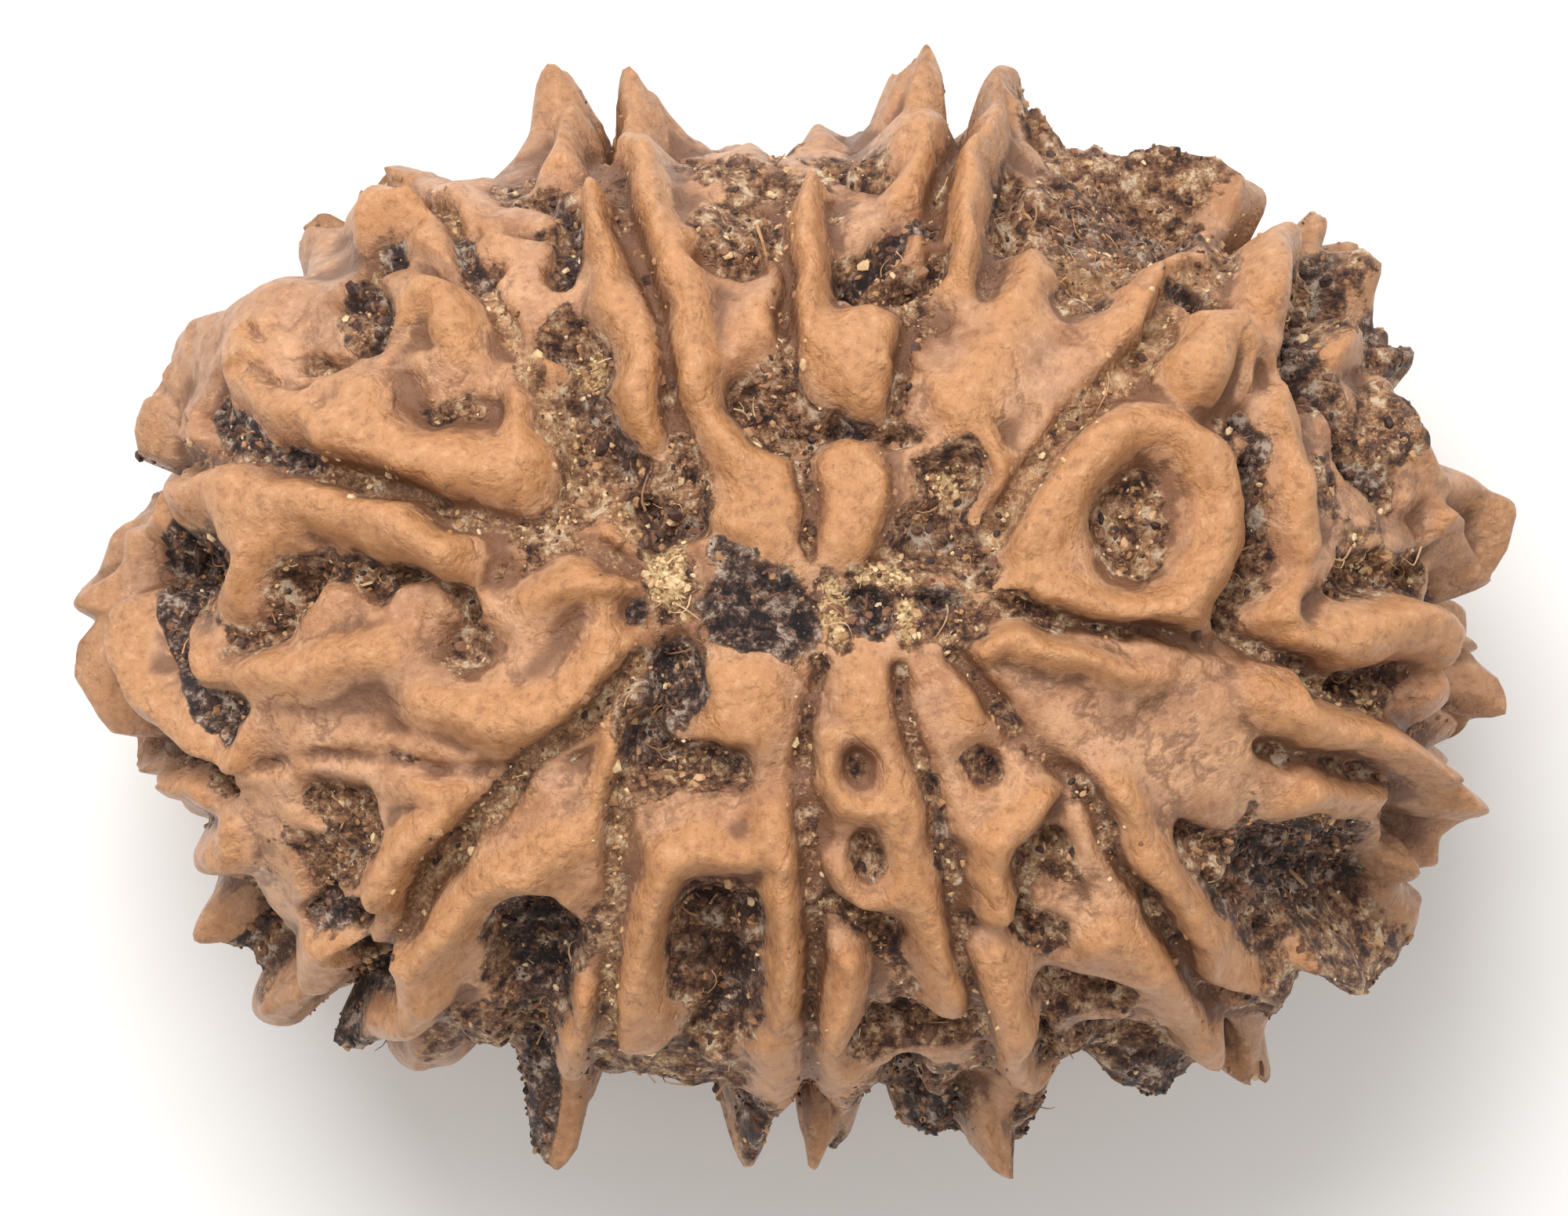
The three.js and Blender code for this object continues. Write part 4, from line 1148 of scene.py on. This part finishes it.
def skin_colour(finish, grain, mottle, wrinkle):
    crest = finish.mask("crest")
    fold = finish.mask("fold")
    broad = finish.noise(2.2 * MILLIMETRE)
    bloom = finish.noise(0.9 * MILLIMETRE, detail=8, roughness=0.7)
    dust = finish.noise(3.6 * MILLIMETRE)
    folded = finish.broken(fold, grain, 1.2)
    colour = finish.coat(SKIN_DARK, SKIN_LIGHT, broad, none_at=0.35, full_at=0.65)
    colour = finish.coat(colour, SKIN_VEIL, bloom, none_at=0.45, full_at=0.65, strength=0.7)
    colour = finish.coat(colour, DUST_AND_SIDE_SHADE, dust, none_at=0.48, full_at=0.66, strength=0.4)
    # Painted shade, with some dirt: skin that lies below its wider surroundings is browned.
    colour = finish.coat(colour, FOLD_SHADE_AND_FRECKLE, folded, none_at=0.46, full_at=0.24, strength=0.42)
    colour = finish.coat(colour, CREST_COLOUR, fold, none_at=0.58, full_at=0.85, strength=0.9)
    # Dust and painted shade: the skin browns towards the widest line.
    colour = finish.coat(colour, DUST_AND_SIDE_SHADE, finish.mask("side"), none_at=0.45, full_at=1, strength=0.5)
    # The same brown, laid on by the mottle, makes freckles.
    colour = finish.coat(colour, FOLD_SHADE_AND_FRECKLE, mottle, none_at=0.5, full_at=0.66, strength=0.5)
    # Painted glints: pale specks of painted highlight where the mottle is low.
    colour = finish.coat(colour, PAINTED_GLINT, mottle, none_at=0.48, full_at=0.34, strength=0.36)
    # The crack lines are browned off the crests: painted shade in the fine creases, over their own darker
    # colour.
    off_crest = finish.ramp(crest, 0.7, 0.4, 0.05, 0.6)
    cracks = finish.math("MULTIPLY", finish.ramp(wrinkle, 0.035, 0.0), off_crest)
    return finish.mix(cracks, colour, DIRT_AND_HOLLOW_SHADE)


print("light skin in linear light", [round(part, 2) for part in SKIN_LIGHT[:3]])

# %% [markdown]
# All that lies low is browned: the furrows, the low ground and, as painted shade with some dirt, the
# small hollows; fine brown specks go over it all.
# Over that lies the dried pulp, each kind by its own mask: rough ground, gold, black char and cream.

# %% Browns of the low places, painted shade and pulp
# The rough ground's tones follow the grain that also bumps it: besides the pulp's own browns, the darkest are
# painted shade in the grain's hollows and the palest are painted glints on its tops.
GROUND_SHADE_AND_GLINT_TONES = [
    (0.39, (44, 30, 28)), (0.45, (94, 62, 46)), (0.5, (148, 106, 76)), (0.55, (190, 148, 110)),
    (0.61, (240, 216, 184)),
]
# The black pulp's palest tones are painted glints.
CHAR_AND_GLINT_TONES = [(0.42, (30, 25, 27)), (0.48, (62, 46, 42)), (0.53, (122, 92, 76)), (0.6, (206, 184, 164))]
GOLD_TONES = [(0.38, (104, 70, 48)), (0.46, (160, 116, 80)), (0.53, (196, 154, 112)), (0.62, (232, 206, 166))]
CREAM_TONES = [(0.36, (124, 86, 54)), (0.46, (196, 152, 102)), (0.6, (234, 204, 152))]


def shade_and_dirt_colour(finish, colour, grain, fine):
    furrow = finish.broken(finish.mask("furrow"), grain, 2.4)
    lowness = finish.broken(finish.mask("lowness"), grain, -3)
    colour = finish.coat(colour, DIRT_AND_HOLLOW_SHADE, furrow, none_at=0.4, full_at=1, strength=0.75)
    # Skin that lies low, near the ground level, is browned.
    colour = finish.coat(colour, DIRT_AND_HOLLOW_SHADE, lowness, none_at=0.45, full_at=1.1, strength=0.8)
    # Painted shade: small hollows, where the skin lies below its near surroundings, are browned.
    colour = finish.coat(colour, DIRT_AND_HOLLOW_SHADE, finish.mask("crest"), none_at=0.44, full_at=0.2, strength=0.8)
    return finish.coat(colour, DIRT_AND_HOLLOW_SHADE, fine, none_at=0.6, full_at=0.75, strength=0.5)


def rough_share(finish):
    patchy = finish.noise(0.25 * MILLIMETRE)
    return finish.ramp(finish.broken(finish.mask("rough"), patchy, 1.2), 0.3, 0.6)


def char_share(finish, grain):
    on_rough = finish.math("MULTIPLY", finish.mask("char"), finish.ramp(finish.mask("rough"), 0.1, 0.6))
    return finish.ramp(finish.broken(on_rough, grain, 1.6), 0.35, 0.65)


def pulp_colour(finish, colour, grain, fine, rough, char):
    gold = finish.math("MULTIPLY", finish.mask("gold"), finish.mask("rough"))
    gold = finish.broken(finish.math("MAXIMUM", finish.mask("full_furrow"), gold), fine, 1.5)
    cream = finish.broken(finish.math("MULTIPLY", finish.mask("cream"), finish.mask("rough")), grain, 2.5)
    golden_grains = finish.tones(grain, GOLD_TONES)
    colour = finish.mix(rough, colour, finish.tones(grain, GROUND_SHADE_AND_GLINT_TONES))
    colour = finish.coat(colour, golden_grains, gold, none_at=0.45, full_at=0.9, strength=0.8)
    colour = finish.mix(char, colour, finish.tones(grain, CHAR_AND_GLINT_TONES))
    return finish.coat(colour, finish.tones(fine, CREAM_TONES), cream, none_at=0.45, full_at=0.75)


print("rough ground runs from", GROUND_SHADE_AND_GLINT_TONES[0][1], "to", GROUND_SHADE_AND_GLINT_TONES[-1][1])

# %% [markdown]
# The relief that is too fine for the mesh comes from a bump: strong grain on the pulp, faint grain,
# freckles and cracks on the skin. The skin has a satin gloss, and the pulp is dull.

# %% The stone's finish
SKIN_ROUGHNESS = 0.33
PULP_ROUGHNESS = 0.55
SKIN_SPECULAR = 0.5
RELIEF_STRENGTH = 0.9
RELIEF_DEPTH = 0.12 * MILLIMETRE


def add_relief(finish, grain, fine, mottle, wrinkle, matt):
    relief = finish.math("MULTIPLY", grain, finish.ramp(matt, 0, 1, 0.5, 1.6))
    relief = finish.math("ADD", relief, finish.math("MULTIPLY", mottle, -0.35))
    relief = finish.math("ADD", relief, finish.ramp(wrinkle, 0.0, 0.05, 0, 0.25))
    relief = finish.math("ADD", relief, finish.math("MULTIPLY", fine, 0.14))
    finish.bump(relief, RELIEF_STRENGTH, RELIEF_DEPTH)


def stone_finish():
    finish = Finish("rudraksha_skin")
    grain = finish.noise(0.42 * MILLIMETRE, detail=10, roughness=0.78)
    fine = finish.noise(0.09 * MILLIMETRE, detail=3, roughness=0.6)
    mottle = finish.noise(0.24 * MILLIMETRE, detail=5, roughness=0.7)
    winding = finish.noise(1.8 * MILLIMETRE, detail=5, roughness=0.58)
    wrinkle = finish.math("ABSOLUTE", finish.math("SUBTRACT", winding, 0.5), 0)
    rough = rough_share(finish)
    char = char_share(finish, grain)
    colour = skin_colour(finish, grain, mottle, wrinkle)
    colour = shade_and_dirt_colour(finish, colour, grain, fine)
    colour = pulp_colour(finish, colour, grain, fine, rough, char)
    finish.link(colour, finish.shader.inputs["Base Color"])
    matt = finish.math("MAXIMUM", rough, char)
    finish.link(finish.ramp(matt, 0, 1, SKIN_ROUGHNESS, PULP_ROUGHNESS), finish.shader.inputs["Roughness"])
    finish.shader.inputs["Specular IOR Level"].default_value = SKIN_SPECULAR
    add_relief(finish, grain, fine, mottle, wrinkle, matt)
    return finish.material


stone.data.materials.append(stone_finish())
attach(stone, "root")
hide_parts(STONE_NODE)
print("stone finish has", len(stone.active_material.node_tree.nodes), "nodes")

# %% [markdown]
# Dried pulp still sticks in the low places as crumbs. Three are modelled, each a small icosphere that
# is jolted and squashed in edit mode. They are then copied thousands of times, each copy turned and
# sized on its own, and merged into a few meshes, because thousands of objects would be slow.

# %% Three crumb shapes
CRUMB_SHAPES = [(1, 0.8, 0.6, 3), (1, 0.6, 0.45, 7), (1, 0.9, 0.5, 11)]
CRUMB_JOLT = 0.25


def take_shape(shape):
    """The vertices and triangles of a small model, which is then removed."""
    vertices = np.array([vertex.co for vertex in shape.data.vertices])
    shape.data.calc_loop_triangles()
    triangles = np.array([triangle.vertices for triangle in shape.data.loop_triangles])
    bpy.data.objects.remove(shape)
    return vertices, triangles


def crumb_shape(long, wide, thick, seed):
    """An icosphere whose corners are jolted, squashed to the three sizes."""
    deselect_all()
    bpy.ops.mesh.primitive_ico_sphere_add(subdivisions=1, radius=1)
    bpy.ops.object.mode_set(mode="EDIT")
    bpy.ops.mesh.select_all(action="SELECT")
    bpy.ops.transform.vertex_random(offset=CRUMB_JOLT, seed=seed)
    bpy.ops.transform.resize(value=(long, wide, thick))
    bpy.ops.object.mode_set(mode="OBJECT")
    return take_shape(bpy.context.object)


CRUMBS = [crumb_shape(*shape) for shape in CRUMB_SHAPES]
print("a crumb has", len(CRUMBS[0][1]), "triangles")

# %% [markdown]
# Fibres are thin curled strands. A bezier curve with a square bevel, thinner at its far end, is bent
# by its handles and made a mesh. Three bends are enough, because every copy is turned at random.

# %% Three fibre shapes
FIBRE_BENDS = [(0.35, 0.1), (0.9, -0.5), (1.3, 0.6)]
FIBRE_THICKNESS = 0.07
FIBRE_STEPS = 5
FIBRE_HANDLE = 0.6
FIBRE_TIP = 0.3


def fibre_shape(bend, lift_up):
    """A strand that is pulled aside and up by its handles."""
    deselect_all()
    bpy.ops.curve.primitive_bezier_curve_add()
    curve = bpy.context.object
    curve.data.dimensions = "3D"
    curve.data.resolution_u = FIBRE_STEPS
    curve.data.bevel_depth = FIBRE_THICKNESS
    curve.data.bevel_resolution = 0
    curve.data.use_fill_caps = True
    first, last = curve.data.splines[0].bezier_points
    first.handle_right = first.co + Vector((FIBRE_HANDLE, bend, lift_up))
    last.handle_left = last.co + Vector((-FIBRE_HANDLE, bend * FIBRE_HANDLE, lift_up))
    last.radius = FIBRE_TIP
    bpy.ops.object.convert(target="MESH")
    return take_shape(bpy.context.object)


FIBRES = [fibre_shape(*bend) for bend in FIBRE_BENDS]
print("a fibre has", len(FIBRES[0][1]), "triangles")

# %% [markdown]
# To choose where they lie, many random places are tried on the whole stone, and each is kept with a
# chance that follows the masks: black crumbs in the char, golden ones in the furrows and gold patches,
# fibres where the pulp is thick. The plug at the pole stays nearly bare, as the real one is smooth.

# %% Where the residue lies
SEED = 12
TRIALS = 130000
CRUMB_COUNT = 9400
FIBRE_COUNT = 900
CLEAR_ABOVE_TABLE = 3
PLUG_EDGE = (0.6, 1)
PLUG_CLEARING = 0.85
FIBRE_OUTLINE_EDGE = (0.1, 0.5)
draw = np.random.default_rng(SEED)
trial_spots = on_body(draw.normal(size=(TRIALS, 3)) * RADII)
trial_height, trial_rough = surface_height(trial_spots)
trial_char = char_mask(trial_spots)
trial_cream = patch_mask(trial_spots, CREAM_PATCHES)
trial_gold = patch_mask(trial_spots, GOLD_PATCHES)
trial_places = trial_spots + trial_height[:, None] * outward(trial_spots)
trial_furrow = crumb_furrow_mask(trial_spots)
clear_of_table = trial_places[:, 2] > REST_LEVEL + CLEAR_ABOVE_TABLE
plug_sizes = PITS["pole_plug"][2:4]
trial_plug = soft_patch(trial_spots, PIT_CENTRES["pole_plug"][0], *plug_sizes, *PLUG_EDGE)


def choose(weights, count):
    """Draws that many places, each with a chance in proportion to its weight."""
    weights = np.where(clear_of_table, weights, 0)
    return draw.choice(TRIALS, count, replace=False, p=weights / weights.sum())


thick_pulp = trial_rough**3 * (1 - PLUG_CLEARING * trial_plug)
off_outline = smooth_step(np.abs(trial_spots[:, 2]) / RADII[2], *FIBRE_OUTLINE_EDGE)
black_weights = thick_pulp * (0.1 + trial_char)
brown_weights = thick_pulp + 0.3 * trial_furrow
golden_weights = thick_pulp * (0.3 + trial_gold + trial_cream) + 0.6 * trial_furrow
fibre_weights = off_outline * thick_pulp * (0.3 + trial_cream + 0.5 * trial_char + 0.3 * trial_gold)
black_places = choose(black_weights, CRUMB_COUNT)
brown_places = choose(brown_weights, CRUMB_COUNT)
golden_places = choose(golden_weights, CRUMB_COUNT)
fibre_places = choose(fibre_weights, FIBRE_COUNT)
print("mean roughness under brown crumbs", round(float(trial_rough[brown_places].mean()), 2))

# %% [markdown]
# Each copy is moved to its place, turned at random and sunk a little into the surface, and it gets a
# tone that its one material reads: 0 is black pulp, then brown and gold, and 1 is cream fibre. A few
# are bright, like the pale grains in the photograph.

# %% Copying and merging
GOLD_TONE_SHIFT = 0.1
CREAM_TONE_SHIFT = 0.3
CHAR_TONE_SHIFT = -0.2
TONE_SPREAD = 0.17
BRIGHT_TONE = 0.85
BRIGHT_SHARE = 0.03
BRIGHT_LOSS_IN_CHAR = 0.4


def tones(chosen, middle):
    """A tone for each chosen place, spread round the middle one."""
    tone = middle + GOLD_TONE_SHIFT * trial_gold[chosen] + CREAM_TONE_SHIFT * trial_cream[chosen]
    tone += CHAR_TONE_SHIFT * trial_char[chosen]
    tone += draw.normal(0, TONE_SPREAD, len(chosen))
    bright = draw.random(len(chosen)) < BRIGHT_SHARE * (1 - BRIGHT_LOSS_IN_CHAR * trial_char[chosen])
    return np.clip(np.where(bright, BRIGHT_TONE, tone), 0, 1)


def unit(vectors):
    return vectors / np.linalg.norm(vectors, axis=1)[:, None]


def random_turns(normals, loose):
    """Turns that lay each copy's thin side along the surface, tipped by up to the loose share."""
    up = unit(normals + loose * draw.normal(size=normals.shape))
    side = unit(np.cross(up, draw.normal(size=normals.shape)))
    return np.stack([side, np.cross(up, side), up], axis=2)


def scatter(name, shapes, chosen, sizes, sunk, loose, middle):
    """One mesh of many copies, each on the surface, turned at random and sunk by a share of its size."""
    places = trial_places[chosen] - (sizes * sunk)[:, None] * outward(trial_spots[chosen])
    turns = random_turns(outward(trial_spots[chosen]), loose)
    shares = np.array_split(np.arange(len(chosen)), len(shapes))
    vertices, triangles, owners = [], [], []
    used = 0
    for (shape, faces), share in zip(shapes, shares):
        copies = np.einsum("vi,nij->nvj", shape, turns[share]) * sizes[share, None, None]
        copies += places[share, None]
        starts = used + np.arange(len(share)) * len(shape)
        vertices.append(copies.reshape(-1, 3))
        triangles.append((faces[None] + starts[:, None, None]).reshape(-1, 3))
        owners.append(np.repeat(share, len(shape)))
        used += copies.size // 3
    triangles = np.concatenate(triangles)
    mesh = bpy.data.meshes.new(name)
    mesh.from_pydata(to_frame(np.concatenate(vertices)).tolist(), [], triangles.tolist())
    write_mask(mesh, "tone", tones(chosen, middle)[np.concatenate(owners)])
    piece = bpy.data.objects.new(name, mesh)
    bpy.context.scene.collection.objects.link(piece)
    print(name, len(triangles), "triangles")
    return piece


print("3 and 4 steps as a unit vector:", unit(np.array([[3.0, 4.0, 0.0]]))[0])

# %% [markdown]
# Natural grains are mostly small with a few large ones, which is what a gamma distribution gives.

# %% The four kinds of residue
CRUMB_GAMMA = (4, 0.12)
FIBRE_GAMMA = (6, 0.24)
GOLDEN_SIZE = 0.85
CRUMB_SUNK = 0.3
CRUMB_LOOSE = 0.9
FIBRE_LOOSE = 0.18


def scatter_crumbs(name, chosen, size, middle):
    sizes = size * draw.gamma(*CRUMB_GAMMA, CRUMB_COUNT)
    return scatter(name, CRUMBS, chosen, sizes, CRUMB_SUNK, CRUMB_LOOSE, middle)


def scatter_fibres(name, chosen, middle):
    sizes = draw.gamma(*FIBRE_GAMMA, FIBRE_COUNT)
    return scatter(name, FIBRES, chosen, sizes, 0, FIBRE_LOOSE, middle)


residue = [
    scatter_crumbs("black_pulp_crumbs", black_places, size=1, middle=0.3),
    scatter_crumbs("brown_pulp_crumbs", brown_places, size=1, middle=0.38),
    scatter_crumbs("golden_pulp_crumbs", golden_places, size=GOLDEN_SIZE, middle=0.55),
    scatter_fibres("pulp_fibres", fibre_places, middle=0.6),
]

# %% [markdown]
# Crumbs and fibres share one matt finish, coloured by their own tone.

# %% The residue's finish
TONE_STOPS = [
    (0.0, (36, 30, 32)), (0.22, (78, 54, 46)), (0.42, (134, 94, 68)), (0.62, (184, 140, 98)),
    (0.85, (226, 198, 154)),
]
SPECK_BROWN = srgb(120, 84, 60)
RESIDUE_ROUGHNESS = 0.65
RESIDUE_SPECULAR = 0.35


def residue_finish():
    finish = Finish("dried_pulp")
    toned = finish.tones(finish.mask("tone"), TONE_STOPS)
    speck = finish.noise(0.12 * MILLIMETRE)
    colour = finish.coat(toned, SPECK_BROWN, speck, none_at=0.35, full_at=0.7, strength=0.4)
    finish.link(colour, finish.shader.inputs["Base Color"])
    finish.shader.inputs["Roughness"].default_value = RESIDUE_ROUGHNESS
    finish.shader.inputs["Specular IOR Level"].default_value = RESIDUE_SPECULAR
    return finish.material


RESIDUE = residue_finish()
for piece in residue:
    piece.data.materials.append(RESIDUE)
    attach(piece, "root")
print("residue pieces:", ", ".join(piece.name for piece in residue))

# %% [markdown]
# The bead lies on plain white paper. The floor is one large plane with a matt, faintly uneven finish.

# %% The floor
FLOOR_SIZE = 0.8
PAPER_WHITE = (0.9, 0.895, 0.885, 1)
PAPER_ROUGHNESS = 0.9
PAPER_BUMP = (0.15, 0.1 * MILLIMETRE)
deselect_all()
bpy.ops.mesh.primitive_plane_add(size=FLOOR_SIZE, location=(0, 0, 0))
floor = bpy.context.object
floor.name = "floor"
paper = Finish("paper")
paper.shader.inputs["Base Color"].default_value = PAPER_WHITE
paper.shader.inputs["Roughness"].default_value = PAPER_ROUGHNESS
paper.bump(paper.noise(3 * MILLIMETRE, detail=3), *PAPER_BUMP)
floor.data.materials.append(paper.material)
print("floor", FLOOR_SIZE, "m wide")

# %% [markdown]
# The light is a bright, even studio sky with one large soft lamp beyond the top of the picture, so
# the shadow falls softly towards the bottom. The camera looks straight down from 0.3 m, and its lens
# makes the picture 30 mm wide at the bead's widest line.

# %% Light and camera
STUDIO_WHITE = (1, 0.985, 0.965, 1)
WORLD_STRENGTH = 0.75
LAMP_POWER = 0.44
LAMP_SIZE = 0.12
LAMP_PLACE = Vector((-0.03, 0.1, 0.185))
LAMP_TARGET = (0, 0, 0.008)
SENSOR_WIDTH = 36
NEAREST_SEEN = 0.01
PICTURE_WIDTH = 0.03
PICTURE_CENTRE = (-0.00015, 0.00007)


def aim(thing, target):
    direction = Vector(target) - thing.location
    thing.rotation_mode = "QUATERNION"
    thing.rotation_quaternion = direction.to_track_quat("-Z", "Y")


world = bpy.data.worlds.new("studio")
world.use_nodes = True
sky = world.node_tree.nodes["Background"]
sky.inputs["Color"].default_value = STUDIO_WHITE
sky.inputs["Strength"].default_value = WORLD_STRENGTH
bpy.context.scene.world = world
bpy.context.scene.view_settings.view_transform = "Standard"

lamp_data = bpy.data.lights.new("soft_lamp", "AREA")
lamp_data.energy = LAMP_POWER
lamp_data.size = LAMP_SIZE
lamp = bpy.data.objects.new("soft_lamp", lamp_data)
lamp.location = LAMP_PLACE
bpy.context.scene.collection.objects.link(lamp)
aim(lamp, LAMP_TARGET)

equator = -REST_LEVEL * STEP
camera_data = bpy.data.cameras.new("camera")
camera_data.sensor_width = SENSOR_WIDTH
camera_data.lens = SENSOR_WIDTH * CAMERA_HEIGHT / PICTURE_WIDTH
camera_data.clip_start = NEAREST_SEEN
camera = bpy.data.objects.new("camera", camera_data)
camera.location = (*PICTURE_CENTRE, equator + CAMERA_HEIGHT)
bpy.context.scene.collection.objects.link(camera)
bpy.context.scene.camera = camera
print("camera", tuple(round(value, 5) for value in camera.location))
